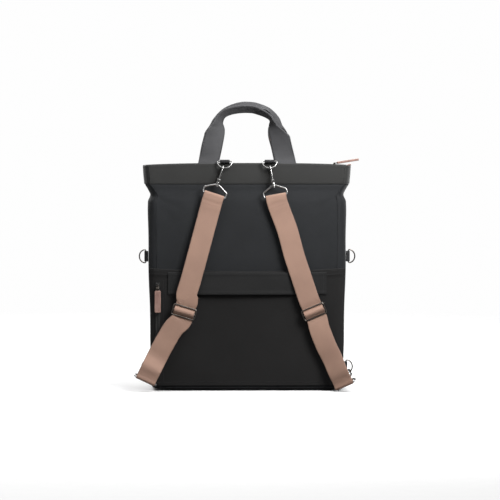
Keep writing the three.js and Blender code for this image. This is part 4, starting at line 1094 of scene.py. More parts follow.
def mouth_panel():
    wide, deep, turn_x, turn_y = band_section(1)
    straight = wide - turn_x
    end = turn_x - fabric - gap * 3
    reach = straight + end * 0.75
    full = deep - fabric - gap * 3
    rings = []
    for x in np.linspace(-reach, reach, 120):
        past = max(abs(x) - straight, 0) / end
        half = min(deep - fabric - tape_clear, full * math.sqrt(1 - past**2))
        share = np.linspace(-1, 1, 41)
        crown = ridge_height(x) - tape_crown * np.abs(share) ** 1.3
        # The two tapes meet under the coil, and a sewn line runs along each.
        crown = crown - 0.35 * np.exp(-((np.abs(share) * half - 12) / 1.2) ** 2)
        top = np.stack([np.full(41, x), share * half, crown], 1)
        bottom = top[::-1] - [0, 0, tape_thick]
        rings.append(np.concatenate([top, bottom]))
    piece = Piece()
    piece.grid(np.array(rings), around=True, caps=True)
    piece.make("mouth_panel", [inner_cloth], replaces=["mouth_panel"], smooth_angle=60)
    thread = Piece()
    for side in (-1, 1):
        for place in (12.0, 9.5):
            x = np.linspace(-reach + 14, reach - 14, 160)
            half = deep - fabric - tape_clear
            z = ridge_height(x) - tape_crown * (place / half) ** 1.3 - 0.2
            line = np.stack([x, np.full_like(x, side * place), z], 1)
            stitches(thread, line, np.tile(UP, (len(line), 1)), thread=0.28)
    thread.make("mouth_stitching", [dark_thread])


mouth_panel()


def top_zip():
    """The coil on its tape, all within the coil's own strip."""
    reach = half_width * BAND_ROWS[1]["wide"] - fabric - 10
    half = coil_width / 2
    piece = Piece()
    rings = []
    for x in np.linspace(-reach, reach, 100):
        base = ridge_height(x) + gap
        rings.append([(x, -half, base), (x, half, base), (x, half, base + 0.35), (x, -half, base + 0.35)])
    piece.grid(np.array(rings), around=True, caps=True, look=1)
    count = int(2 * (reach - 4) / 1.5)
    bend = np.array([(-0.5, 0.3), (-0.5, 0.7), (-0.42, 0.95), (-0.1, 1.0), (0.09, 0.9), (0.12, 0.35)])
    for i in range(count):
        side = 1 if i % 2 else -1
        x = -reach + 4 + (i + 0.5) * 1.5
        base = ridge_height(x) + gap
        path = vec(x, 0, base) + DEPTH * (bend[:, :1] * -side * 5.8) + UP * (bend[:, 1:] * 0.95)
        add_wire(piece, path, 0.45, WIDTH, sides=5)
    piece.make("top_zip", [zip_plastic, inner_cloth], replaces=["top_zip"])


top_zip()


def end_tab():
    """The leather tab over the end of the zip, from the coil out over the edge of the band."""
    edge = half_width * BAND_ROWS[1]["wide"]
    coil_end = edge - fabric - 10
    lift = gap + end_tab_thick / 2
    over_coil = tape_crown - tape_recess + gap + coil_thick + lift
    points = [vec(end_tab_start, 0, mouth(end_tab_start) + over_coil), vec(coil_end + 1, 0, mouth(coil_end) + over_coil),
              vec(edge - fabric, 0, mouth(edge - fabric) + lift + 0.2), vec(edge + 0.6, 0, mouth(edge) + lift + 0.1)]
    piece = Piece()
    line = catmull(points, 40)
    tongue(piece, line, DEPTH, end_tab_width, end_tab_thick, cells=14)
    piece.make("end_tab", [blush_leather], replaces=["end_tab"], smooth_angle=60)
    thread = Piece()
    for side in (-1, 1):
        row = line[3:-3] + vec(0, side * (end_tab_width / 2 - 1.6), end_tab_thick / 2)
        stitches(thread, row, np.tile(UP, (len(row), 1)), pitch=2.2, long=1.6, thread=0.2)
    thread.make("end_tab_stitching", [blush_thread])


end_tab()


# Lower pocket, luggage strap and pocket zip

def near_relief(x, z):
    return puff(x, z, -1)


def pocket():
    around = int(TURN * 3 / 5)
    order = [i % AROUND for i in range(-around, LONG + around + 1)]
    levels = np.concatenate([[base_round_high, base_round_high + 1.2], np.linspace(14, pocket_top - 12, 34),
                             [pocket_top - 11.2, pocket_top - 10, pocket_top - 6, pocket_top - 3,
                              pocket_top - 1, pocket_top]])

    def face(offsets, heights):
        rows = []
        for height, offset in zip(heights, offsets):
            ring = outline(body_section(height), offset, height)[order]
            dip = (1 - (ring[:, 0] / half_width) ** 2) * np.clip((height - pocket_top / 2) / (pocket_top / 2), 0, 1)
            ring[:, 2] -= pocket_sag * dip
            ring[:, 1] -= near_relief(ring[:, 0], ring[:, 2]) * (ring[:, 1] < -half_depth * 0.93)
            rows.append(ring)
        return rows

    # The hem along the top is folded double, so it stands a little prouder than the panel.
    hem = np.where(levels > pocket_top - 11.5, 0.35, 0.0)
    outer = face(gap + pocket_fabric + hem, levels)
    inner = face(np.full(3, gap), [pocket_top, pocket_top / 2, base_round_high])
    top = [lerp(outer[-1], inner[0], s) + [0, 0, r] for s, r in ((0.25, 0.5), (0.5, 0.7), (0.75, 0.5))]
    rings = np.array(outer + top + inner).transpose(1, 0, 2)
    piece = Piece()
    piece.grid(rings, around=True, caps=True)
    piece.make("back_pocket", [pocket_cloth], replaces=["back_pocket"], smooth_angle=60)
    thread = Piece()
    for height, inset in ((pocket_top - 9, 0.38), (pocket_top - 2.6, 0.38), (base_round_high + 6, 0.02)):
        line = face([gap + pocket_fabric + inset], [height])[0]
        line = evenly(line, 2.0)
        stitches(thread, line, unit(np.cross(directions(line), UP)))
    # An upright seam beside the zip, and one where the panel turns round the right corner.
    z = np.linspace(16, 206, 60)
    line = np.stack([np.full_like(z, -154.5), -(pocket_face + near_relief(-154.5, z) + 0.05), z], 1)
    stitches(thread, line, np.tile(-DEPTH, (len(line), 1)))
    corner = rings[around + LONG + 4, 2:len(levels) - 5]
    normal = unit(vec(0.59, -0.81, 0))
    stitches(thread, corner + normal * 0.05, np.tile(normal, (len(corner), 1)))
    thread.make("pocket_stitching", [dark_thread])


pocket()


def trolley():
    steps = 150
    height = trolley_top - trolley_height / 2
    flat = trolley_width / 2 - trolley_sewn
    x = np.linspace(-trolley_width / 2, trolley_width / 2, steps)
    share = np.minimum(np.abs(x) / flat, 1)
    bow = trolley_bow * (1 - share**4) ** 1.5
    rings = []
    half = trolley_height / 2
    thick = trolley_fabric / 2
    rise = np.linspace(-half + 0.6, half - 0.6, 33)
    for px, pb in zip(x, bow):
        hem = 0.25 * (smooth(half - 6.4, half - 5.6, np.abs(rise)))
        wave = 0.5 * math.sin(px / 41) * np.sin(rise / 9 + 0.4) * (pb / trolley_bow)
        lift = near_relief(px, height + rise)
        middle = pocket_face + gap + thick + pb + lift
        front = np.stack([np.full(33, px), -(middle + thick + hem + wave), height + rise], 1)
        back = np.stack([np.full(33, px), -(middle - thick + wave), height + rise], 1)
        top = np.array([[px, front[-1, 1] * 0.7 + back[-1, 1] * 0.3, height + half],
                        [px, front[-1, 1] * 0.3 + back[-1, 1] * 0.7, height + half]])
        low = np.array([[px, back[0, 1] * 0.7 + front[0, 1] * 0.3, height - half],
                        [px, back[0, 1] * 0.3 + front[0, 1] * 0.7, height - half]])
        rings.append(np.concatenate([front, top, back[::-1], low]))
    rings = np.array(rings)
    piece = Piece()
    piece.grid(rings, around=True, caps=True)
    piece.make("trolley_band", [band_cloth_low], replaces=["trolley_band"], smooth_angle=60)
    thread = Piece()
    for row in (2, 30):
        line = rings[3:-3, row] - [0, 0.05, 0]
        stitches(thread, line, np.tile(-DEPTH, (len(line), 1)))
    for column in (3, 8, steps - 9, steps - 4):
        line = rings[column, 1:32] - [0, 0.05, 0]
        stitches(thread, line, np.tile(-DEPTH, (len(line), 1)))
    thread.make("trolley_stitching", [dark_thread])


band_cloth_low = cloth_look("trolley_cloth", colour(25, 25, 26), colour(32, 32, 32), plain_weave, 0.8, 0.08, 0.74,
                            0.14)
trolley()


def pocket_zip():
    face = -(pocket_face + gap)
    piece = Piece()
    half = coil_width / 2
    low = pocket_zip_top - pocket_zip_length
    section = np.array([(-half, 0), (half, 0), (half, -0.5), (half - 0.6, -1.0), (half - 1.4, -0.5),
                        (-half + 1.4, -0.5), (-half + 0.6, -1.0), (-half, -0.5)])
    z = np.linspace(low, pocket_zip_top, 60)
    rings = np.stack([np.column_stack([section[:, 0] - pocket_zip_place, section[:, 1] + face,
                                       np.full(len(section), h)]) for h in z])
    piece.grid(rings, around=True, caps=True, look=1)
    bend = np.array([(-0.5, 0.3), (-0.5, 0.7), (-0.42, 0.95), (-0.1, 1.0), (0.09, 0.9), (0.12, 0.35)])
    for i in range(int((pocket_zip_length - 4) / 1.5)):
        side = 1 if i % 2 else -1
        centre = vec(-pocket_zip_place, face - 0.2, low + 2 + (i + 0.5) * 1.5)
        path = centre + WIDTH * (bend[:, :1] * side * 4.4) - DEPTH * (bend[:, 1:] * 0.85)
        add_wire(piece, path, 0.36, UP, sides=5)
    piece.make("pocket_zip", [zip_plastic, band_cloth], replaces=["pocket_zip"])


pocket_zip()


# Handles

def handle_stations(side, count):
    """Inner edge, direction over the width, place of the crease and tilt at even steps of the curve."""
    half = handle_inside / 2
    rise = handle_rise if side < 0 else handle_rise + far_handle_extra
    name = "near" if side < 0 else "far"
    left, right = HANDLE_ROWS[f"{name}_left"], HANDLE_ROWS[f"{name}_right"][::-1]
    rows = [(-row["across"], row["up"], row["front"], row["tip"], 180 - row["turn"]) for row in left]
    rows += [(row["across"], row["up"], row["front"], row["tip"], row["turn"]) for row in right]
    rows = np.array(rows)
    points = [vec(across * half, 0, mouth_height + up * rise) for across, up in rows[:, :2]]
    place = np.linspace(0, len(rows) - 1, count)
    steps = np.arange(len(rows))
    crease = monotone(steps, rows[:, 2] * webbing_width, place)
    tip = np.radians(monotone(steps, rows[:, 3] * grip_tip, place))
    turn = np.radians(monotone(steps, rows[:, 4], place))
    out = np.stack([np.cos(turn), np.zeros(count), np.sin(turn)], 1)
    return catmull(np.array(points), count), out, crease, tip


def lean_at(height):
    return handle_lean * np.maximum((height - mouth_height) / handle_rise, 0)


leg_place = BAND_ROWS[1]["deep"] * half_depth - fabric - gap - handle_webbing / 2


def handle_point(side, station, out, tip, along, inward):
    """along runs over the webbing's width from its inner edge, inward from its middle surface."""
    along, inward = np.broadcast_arrays(np.asarray(along, float), np.asarray(inward, float))
    point = station + out * (along * np.cos(tip) - inward * np.sin(tip))[..., None]
    tipped = along * np.sin(tip) + inward * np.cos(tip)
    point[..., 1] = side * (leg_place - lean_at(station[..., 2]) - tipped)
    return point


def handle(name, side):
    count = 240
    curve, out, crease, tip = handle_stations(side, count)
    cells = 44
    run = np.linspace(0.4, webbing_width - 0.4, cells + 1)
    half = handle_webbing / 2
    rings = []
    tops = []
    for i in range(count):
        past = np.maximum(run - crease[i], 0)
        angle = np.minimum(past / fold_radius, math.pi)
        flat = np.maximum(past - fold_radius * math.pi, 0)
        along = np.minimum(run, crease[i]) + fold_radius * np.sin(angle) - flat
        inward = fold_radius * (1 - np.cos(angle))

        def place(over, under):
            return handle_point(side, curve[i], out[i], tip[i], over, under)

        front_face = place(along + half * np.sin(angle), inward - half * np.cos(angle))
        back_face = place(along - half * np.sin(angle), inward + half * np.cos(angle))
        first = place(along[0] - 0.35, np.array([-half, half]) * 0.5)
        tail = math.cos(angle[-1])
        last = place(along[-1] + 0.35 * tail, inward[-1] + np.array([-half, half]) * 0.5 * tail)
        rings.append(np.concatenate([front_face, last, back_face[::-1], first[::-1]]))
        tops.append(front_face)
    piece = Piece()
    piece.grid(np.array(rings), around=True, caps=True, start=(-webbing_width / 2, 0))
    piece.make(f"{name}_handle", [black_webbing], replaces=[f"{name}_handle"],
               smooth_angle=70)
    # A sewn line near each edge of the outer face.
    tops = np.array(tops)
    thread = Piece()
    normal = np.tile(vec(0, side, 0), (count, 1))
    stitches(thread, tops[6:-6, 2], normal[6:-6])
    for part in (slice(8, int(count * 0.16)), slice(int(count * 0.84), count - 8)):
        stitches(thread, tops[part, cells - 2], normal[part])
    thread.make(f"{name}_handle_stitching", [dark_thread])


def leg_lining(name, side, end):
    """A thinner strip against the inner face, up to where the folded part covers it."""
    low = (webbing_width - lining_width) / 2
    cells = 16
    coarse, _, coarse_crease, _ = handle_stations(side, handle_steps + 1)
    unfolded = (coarse_crease > webbing_width - math.pi * fold_radius) & (np.sign(coarse[:, 0]) == end)
    curve, out, crease, tip = handle_stations(side, 240)
    keep = (curve[:, 2] <= coarse[unfolded, 2].max()) & (np.sign(curve[:, 0]) == end)
    curve, out, crease, tip = (values[keep] for values in (curve, out, crease, tip))
    high = lerp(webbing_width * lining_taper, low + lining_width,
                smooth(webbing_width - low, webbing_width - low / 3, crease))
    near = handle_webbing / 2 + gap
    share = np.linspace(0, 1, cells + 1)

    def face(depth, shares=share):
        along = low + shares * (high[:, None] - low)
        return handle_point(side, curve[:, None], out[:, None], tip[:, None], along, depth)

    piece = Piece()
    piece.grid(np.concatenate([face(near), face(near + lining)[:, ::-1]], 1), around=True, caps=True,
               start=(-lining_width / 2, 0))
    piece.make(name, [lining_cloth], replaces=[name])
    normal = -out * np.sin(tip)[:, None] - DEPTH * (side * np.cos(tip))[:, None]
    thread = Piece()
    for place in (0.07, 0.93):
        line = face(near + lining, np.array([place]))[:, 0]
        stitches(thread, line[2:-2], normal[2:-2], thread=0.26)
    thread.make(f"{name}_stitching", [blush_thread])


for name, side in (("near", -1), ("far", 1)):
    handle(name, side)
    leg_lining(f"{name}_left_lining", side, -1)
    leg_lining(f"{name}_right_lining", side, 1)


# Rings

def d_ring_line(radius):
    cut = ring_shoulder
    bar = np.stack([np.linspace(-radius + cut, radius - cut, 20), np.zeros(20), np.zeros(20)], 1)
    angle = np.linspace(0, math.pi, 40)
    bow = np.stack([radius * np.cos(angle), np.zeros(40), -cut - (radius - cut) * np.sin(angle)], 1)
    return np.concatenate([bar, bow])


def bow_point(radius, slip):
    return vec(radius * math.sin(slip), 0, -ring_shoulder - (radius - ring_shoulder) * math.cos(slip))


def basis(x, y, z, origin):
    made = np.eye(4)
    made[:3, 0], made[:3, 1], made[:3, 2], made[:3, 3] = x, y, z, origin
    return made


def apply(matrix, point):
    return matrix[:3, :3] @ np.asarray(point) + matrix[:3, 3]


def d_ring(name, radius, wire, matrix, look, body="bag"):
    piece = Piece()
    add_wire(piece, d_ring_line(radius), wire, DEPTH, closed=True, sides=18)
    piece.moved(0, matrix)
    piece.make(name, [look], body=body, replaces=[name])


# Snap hooks

fork_top = collar_height + 4.8
pivot = vec(4.6, 0, collar_height + 2.9)
ring_seat = hook_height + hook_bow - hook_wire
loop_top = -gap - neck_length / 2


def fork_shape(right):
    low = collar_height - 0.6
    corner = [(right - 2 + 2 * math.sin(a), low + 2 - 2 * math.cos(a)) for a in np.linspace(0, math.pi / 2, 7)]
    crown = [(right - 1.2 + 1.2 * math.cos(a), fork_top - 1.2 + 1.2 * math.sin(a))
             for a in np.linspace(0, math.pi / 2, 6)]
    return [(-2.2, low), *corner, *crown, (-3.4, fork_top)]


def hook_body(name, matrix):
    piece = Piece()
    spine = [vec(-1.2, 0, collar_height + 0.6), vec(-2.4, 0, collar_height + 2), vec(-3.6, 0, fork_top - 1),
             vec(-4.8, 0, fork_top + 2), vec(-hook_bow, 0, fork_top + 4.5), vec(-hook_bow, 0, fork_top + 8)]
    angle = np.linspace(math.pi, 0, 22)
    arch = np.stack([hook_bow * np.cos(angle), np.zeros(22), hook_height + hook_bow * np.sin(angle)], 1)
    line = np.vstack([catmull(np.array([*spine, arch[0]]), 30)[:-1], arch,
                      [vec(hook_bow, 0, hook_height - 1), vec(hook_bow, 0, hook_height - 1.8)]])
    radius = np.full(len(line), hook_wire)
    radius[-1] = hook_wire * 0.86
    rings = wire_rings(line, 1.0, DEPTH, sides=18)
    rings = line[:, None] + (rings - line[:, None]) * radius[:, None, None]
    piece.grid(rings, around=True, caps=True)
    outer_wall = pivot[0] + gate_barrel - 0.2
    inner_wall = pivot[0] - gate_barrel - 1.4
    shape = fork_shape(outer_wall)
    half, slot = fork_thick / 2, slot_thick / 2
    for low, high in ((-half, -slot), (slot, half)):
        add_slab(piece, shape, low, high)
    low = collar_height - 0.6
    add_slab(piece, [(-2.2, low), (inner_wall, low), (inner_wall, fork_top), (-3.4, fork_top)], -slot, slot)
    add_slab(piece, [(inner_wall - 0.5, low), (outer_wall - 1.4, low), (outer_wall - 0.4, low + 1.1),
                     (inner_wall - 0.5, low + 1.1)], -slot, slot)
    for side in (-1, 1):
        add_lathe(piece, [(gate_pin + 0.35, half - 0.1), (gate_pin + 0.35, half + 0.06), (gate_pin * 0.6, half + 0.2)],
                  pivot, DEPTH * side, sides=14)
    add_lathe(piece, [(gate_pin, -half), (gate_pin, half)], pivot, DEPTH, sides=12)
    add_lathe(piece, [
        (head_radius - 0.3, -neck_length - head_height), (head_radius, -neck_length - head_height + 0.3),
        (head_radius, -neck_length - 0.1), (head_radius - 0.2, -neck_length), (neck_radius, -neck_length),
        (neck_radius, 0), (collar_radius - 0.25, 0), (collar_radius, 0.25),
        (collar_radius, collar_height - 1.0), (collar_radius - 0.2, collar_height - 0.5),
        (collar_radius - 0.8, collar_height)])
    piece.moved(0, matrix)
    piece.make(name, [bright_metal], replaces=[name], smooth_angle=40)


def hook_gate(name, matrix):
    piece = Piece()
    tip = vec(hook_bow, 0, hook_height - 2 - gate_clearance) - pivot
    line = catmull(np.array([vec(0.1, 0, 0), tip * 0.5 + vec(0.35, 0, 0), tip]), 20)
    rings = wire_rings(line, 1.0, DEPTH, sides=16)
    size = np.full(20, gate_wire)
    size[-1] *= 0.85
    piece.grid(line[:, None] + (rings - line[:, None]) * size[:, None, None], around=True, caps=True)
    half = slot_thick / 2 - gap
    add_lathe(piece, [(gate_barrel - 0.25, -half), (gate_barrel, -half + 0.25), (gate_barrel, half - 0.25),
                      (gate_barrel - 0.25, half)], (0, 0, 0), DEPTH, sides=22)
    piece.moved(0, matrix)
    piece.make(name, [bright_metal], body=name, replaces=[name], smooth_angle=40)


def strap_loop(name, matrix):
    piece = Piece()
    half = webbing_width / 2 + loop_play + loop_wire
    low = loop_top - loop_height
    corners = [vec(-half, 0, low), vec(half, 0, low), vec(half, 0, low + loop_shoulder), vec(3, 0, loop_top),
               vec(-3, 0, loop_top), vec(-half, 0, low + loop_shoulder)]
    line = rounded(corners, 2.2, 7)
    add_wire(piece, line, loop_wire, DEPTH, closed=True, sides=16)
    tall = neck_length / 2 - gap
    add_lathe(piece, [(2.9, -tall), (3.2, -tall + 0.3), (3.2, tall - 0.3), (2.9, tall), (1.75, tall)],
              (0, 0, -neck_length / 2))
    piece.moved(0, matrix)
    piece.make(name, [bright_metal], replaces=[name], smooth_angle=40)


def snap_hook(name, held, wire_radius, axis, flat, bar):
    seat = ring_seat - wire_radius - hook_play
    origin = held - axis * seat
    matrix = basis(np.cross(flat, axis), flat, axis, origin)
    hook_body(f"{name}_hook", matrix)
    gate = matrix.copy()
    gate[:3, 3] = apply(matrix, pivot)
    hook_gate(f"{name}_gate", gate)
    strap_loop(f"{name}_loop", basis(bar, np.cross(axis, bar), axis, origin))
    return origin + axis * (loop_top - loop_height)


# Shoulder straps

class StrapLine:
    """Middle line of a strap: one curve from the top bar to the slide, one from there to the lower bar."""

    def __init__(self, side, top, top_way, low, low_way):
        column = "left" if side < 0 else "right"

        def place(row):
            return vec(side * row[column] * half_width, -row["ahead"] * half_depth, row["up"] * mouth_height)

        slide = place(SLIDE_ROW)
        lean = math.radians(slide_lean[column])
        slide_way = vec(side * math.sin(lean), 0, -math.cos(lean))

        def part(start, start_way, first, rows, end, end_way):
            return catmull([start, *(start + start_way * distance for distance in first), *map(place, rows),
                            end - end_way * 2 * strap_lead, end - end_way * strap_lead, end], 900)

        above = [row for row in STRAP_ROWS if row["up"] > SLIDE_ROW["up"]]
        below = [row for row in STRAP_ROWS if row["up"] < SLIDE_ROW["up"]]
        self.upper = part(top, top_way, (strap_lead,), above, slide, slide_way)
        self.lower = part(slide, slide_way, (slide_lead / 2, slide_lead), below, low, low_way)
        self.slide = lengths(self.upper)[-1]
        self.length = self.slide + lengths(self.lower)[-1]

    def frame(self, twist, distance):
        first = distance <= self.slide
        curve = self.upper if first else self.lower
        start = 0 if first else self.slide
        reach = self.slide if first else self.length - self.slide
        share = min(max((distance - start) / reach, 0), 1)
        run = lengths(curve)
        at = share * reach
        along = unit(resample(curve, [min(at + 0.5, reach)])[0] - resample(curve, [max(at - 0.5, 0)])[0])
        point = resample(curve, [at])[0] + along * (distance - start - at)
        level = unit(np.cross(along, DEPTH))
        ahead = unit(np.cross(along, level))
        turn = 0 if first else twist * float(smooth(0.15, 0.85, share))
        across = level * math.cos(turn) + ahead * math.sin(turn)
        normal = ahead * math.cos(turn) - level * math.sin(turn)
        return point, along, across, normal


def strap_route(length, slide):
    """Route of the webbing along and off the middle line: sewn fold, slide, lower bar and back up."""
    bar = slide_height / 2 - slide_wire
    ply = (webbing + gap) / 2
    turn = loop_wire + gap + webbing / 2
    low = slide_ahead - slide_wire - gap - webbing / 2
    wrap = slide_wire + gap + webbing / 2
    over = wrap + webbing + gap
    route = []

    def arc(along, off, radius, start, end, steps):
        for angle in np.radians(np.linspace(start, end, steps + 1)):
            route.append((along + radius * math.cos(angle), off + radius * math.sin(angle)))

    route += [(strap_fold, -ply), (turn * 2, -ply)]
    arc(0, 0, turn, -70, -290, 12)
    route += [(turn * 2, 2.1), (10, 1.7), (SEWN_ROWS[0], ply - sewn_dip), (sum(SEWN_ROWS) / 2, ply + 0.3),
              (SEWN_ROWS[1], ply - sewn_dip), (strap_fold, ply), (strap_fold + 14, 0)]
    route += [(d, 0) for d in np.arange(strap_fold + 40, slide - bar * 2 - 15, 30)]
    route += [(slide - bar * 2, 0), (slide - bar, low), (slide - bar * 0.72, low * 0.3)]
    arc(slide, slide_ahead, over, 145, 35, 8)
    route += [(slide + bar * 0.72, low * 0.3), (slide + bar, low), (slide + bar * 2.4, ply)]
    route += [(d, ply) for d in np.arange(slide + bar * 2.4 + 30, length - turn * 2.2 - 15, 30)]
    route += [(length - turn * 2.2, ply)]
    arc(length, 0, turn, 110, -110, 12)
    route += [(length - turn * 2.2, -ply)]
    route += [(d, -ply) for d in np.arange(length - turn * 2.2 - 30, slide + bar * 2.4 + 15, -30)]
    route += [(slide + bar * 2.4, -ply - 0.4), (slide + bar, low - webbing - gap - 0.1),
              (slide + wrap * 1.3, slide_ahead - wrap - 1)]
    arc(slide, slide_ahead, wrap, 270, 50, 10)
    return np.array(route)


def shoulder_strap(name, line, twist):
    route = evenly(catmull(strap_route(line.length, line.slide), 1600), 2.6)
    frames = [line.frame(twist, along) for along in route[:, 0]]
    points = np.array([f[0] + f[3] * off for f, off in zip(frames, route[:, 1])])
    across = np.array([f[2] for f in frames])
    normal = unit(np.cross(directions(points), across))
    piece = Piece()
    add_ribbon(piece, points, across, normal, webbing_width, webbing, cells=14)
    piece.make(f"{name}_strap", [blush_webbing], replaces=[f"{name}_strap"],
               smooth_angle=70)
    thread = Piece()
    ply = (webbing + gap) / 2
    for distance in SEWN_ROWS:
        point, along, side, face = line.frame(twist, distance)
        spread = np.linspace(-webbing_width / 2 + 1.6, webbing_width / 2 - 1.6, 30)
        row = point + side * spread[:, None] + face * (ply - sewn_dip + webbing / 2 + 0.05)
        stitches(thread, row, np.tile(face, (30, 1)), pitch=2.6, long=2.0, thread=0.3)
    thread.make(f"{name}_strap_stitching", [strap_thread])
    point, along, side, face = line.frame(twist, line.slide)
    matrix = basis(side, face, np.cross(side, face), point + face * slide_ahead)
    strap_slide(f"{name}_slide", matrix)


def strap_slide(name, matrix):
    wide = webbing_width / 2 + slide_play + slide_wire
    high = slide_height / 2 - slide_wire
    corners = [vec(-wide, 0, -high), vec(wide, 0, -high), vec(wide, 0, high), vec(-wide, 0, high)]
    piece = Piece()
    add_wire(piece, rounded(corners, 3, 8), slide_wire, DEPTH, closed=True, sides=16)
    add_wire(piece, np.stack([np.linspace(-wide, wide, 12), np.zeros(12), np.zeros(12)], 1), slide_wire, DEPTH,
             sides=16)
    piece.moved(0, matrix)
    piece.make(name, [dark_metal], replaces=[name], smooth_angle=60)


# Tabs

def top_tab(name, x):
    wall = -BAND_ROWS[1]["deep"] * half_depth
    turn = top_ring_wire + gap + tab_webbing / 2
    ply = tab_webbing + gap
    edge = float(mouth(x))
    inside = wall + fabric + gap + tab_webbing / 2
    points = [vec(x, inside + ply, edge - leg_depth), vec(x, inside + ply, edge - 1.5)]
    points += [vec(x, wall - row["ahead"], edge + row["up"]) for row in TAB_ROWS]
    for angle in np.radians(np.linspace(110, -100, 15)):
        points.append(vec(x, wall - top_ring_ahead - turn * math.cos(angle),
                          edge + top_ring_rise + turn * math.sin(angle)))
    rim = fabric / 2 + gap + tab_webbing / 2
    points += [vec(x, wall - 0.6, edge + rim + 0.7), vec(x, wall + fabric / 2 + 0.4, edge + rim),
               vec(x, wall + fabric / 2 + rim * 0.8, edge + rim * 0.55), vec(x, inside, edge - 1.5),
               vec(x, inside, edge - leg_depth)]
    piece = Piece()
    tongue(piece, catmull(points, 110), WIDTH, top_tab_width, tab_webbing, cells=12)
    piece.make(name, [tab_webbing_look], replaces=[name], smooth_angle=70)


def side_tab(name, wall_x, end, height):
    turn = side_ring_wire + gap + tab_webbing / 2
    points = [vec(wall_x + gap * end, -side_ring_ahead - turn, height)]
    for angle in np.radians(np.linspace(-90, 90, 18)):
        points.append(vec(wall_x + end * (side_ring_reach + turn * math.cos(angle)),
                          -side_ring_ahead + turn * math.sin(angle), height))
    points.append(vec(wall_x + gap * end, -side_ring_ahead + turn, height))
    piece = Piece()
    tongue(piece, np.array(points), UP, side_tab_width, tab_webbing, cells=12)
    piece.make(name, [tab_webbing_look], replaces=[name], smooth_angle=70)


def side_ring(name, end, height, body="bag"):
    at = [row["up"] * body_height for row in BODY_ROWS]
    wide = [row["wide"] * half_width for row in BODY_ROWS]
    spread = max(float(np.interp(height + step * side_tab_width / 2, at, wide)) for step in (-1, 0, 1))
    wall_x = end * spread
    side_tab(f"{name}_tab", wall_x, end, height)
    matrix = basis(vec(0, 0, end), DEPTH, vec(-end, 0, 0),
                   vec(wall_x + end * side_ring_reach, -side_ring_ahead, height))
    d_ring(f"{name}_ring", side_ring_radius, side_ring_wire, matrix, dark_metal, body)
    return matrix


for name, end in (("left", -1), ("right", 1)):
    ring_x = end * top_ring_spread / 2
    top_tab(f"{name}_top_tab", ring_x)
    tilt = math.radians(top_ring_tilt)
    ring = basis(WIDTH, vec(0, math.cos(tilt), -math.sin(tilt)), vec(0, math.sin(tilt), math.cos(tilt)),
                 vec(ring_x, -BAND_ROWS[1]["deep"] * half_depth - top_ring_ahead, mouth(ring_x) + top_ring_rise))
    d_ring(f"{name}_top_ring", top_ring_radius, top_ring_wire, ring, bright_metal)
    held = apply(ring, bow_point(top_ring_radius, end * math.radians(top_ring_slip[name])))
    lean = math.radians(top_hook_lean[name])
    axis = unit(vec(-end * math.sin(lean), math.sin(math.radians(top_hook_pitch)), math.cos(lean)))
    bar = -unit(np.cross(axis, DEPTH))
    top = snap_hook(f"{name}_top", held, top_ring_wire, axis, bar, bar)

    side_ring(f"{name}_side", end, upper_ring_height, body=f"{name}_side_ring")
    low_ring = side_ring(f"{name}_low", end, low_ring_height)
    slip = math.radians(low_ring_slip)
    low_held = apply(low_ring, bow_point(side_ring_radius, -end * slip))
    pitch = math.radians(low_hook_pitch[name])
    low_lean = math.radians(low_hook_lean[name])
    low_axis = unit(vec(end * math.sin(low_lean), math.cos(pitch), math.sin(pitch)))
    tangent = vec(math.sin(slip), 0, end * math.cos(slip))
    flat = unit(tangent - low_axis * tangent.dot(low_axis))
    way = unit(vec(end * 0.44, 0, -0.9))
    level = unit(np.cross(way, DEPTH))
    ahead = unit(np.cross(way, level))
    twist = math.atan2(-level.dot(low_axis), ahead.dot(low_axis))
    if twist > math.pi / 2:
        twist -= math.pi
    elif twist < -math.pi / 2:
        twist += math.pi
    low_bar = level * math.cos(twist) + ahead * math.sin(twist)
    low = snap_hook(f"{name}_low", low_held, side_ring_wire, low_axis, flat, low_bar)
    shoulder_strap(name, StrapLine(end, top, -axis, low, way), twist)


# Zip sliders and pulls

pin_height = slider_thick + ear_height - eye_radius + 0.2


def slider(name, length, width, matrix):
    half = length / 2
    nose = [(half * 0.5 + half * 0.5 * math.sin(a), width / 2 * math.cos(a)) for a in
            np.linspace(0, math.pi, 15)]
    shape = [(-half, -width * 0.3), (-half * 0.2, -width * 0.36), *nose[::-1], (-half * 0.2, width * 0.36),
             (-half, width * 0.3)]
    piece = Piece()
    add_slab(piece, shape, 0, slider_thick * 0.36, first=WIDTH, second=DEPTH, third=UP)
    add_slab(piece, shape, slider_thick * 0.62, slider_thick, first=WIDTH, second=DEPTH, third=UP)
    post = [(x * 0.45 + half * 0.3, y * 0.4) for x, y in shape]
    add_slab(piece, post, 0.2, slider_thick - 0.2, first=WIDTH, second=DEPTH, third=UP)
    ear = eye_radius - 0.2
    outside = eye_width / 2 + gap + 1
    crown = slider_thick + ear_height
    cheek = [(-ear * 1.5, slider_thick - 0.2), (ear * 1.5, slider_thick - 0.2), (ear, crown - 0.9),
             (ear * 0.5, crown), (-ear * 0.5, crown), (-ear, crown - 0.9)]
    for side in (-1, 1):
        inside = eye_width / 2 + gap
        low, high = sorted((side * inside, side * outside))
        add_slab(piece, cheek, low, high)
    add_lathe(piece, [(0.7, -outside + 0.1), (0.7, outside - 0.1)], (0, 0, crown - ear), DEPTH, sides=12)
    piece.moved(0, matrix)
    piece.make(name, [dark_metal], replaces=[name], smooth_angle=35, bevel=0.18)


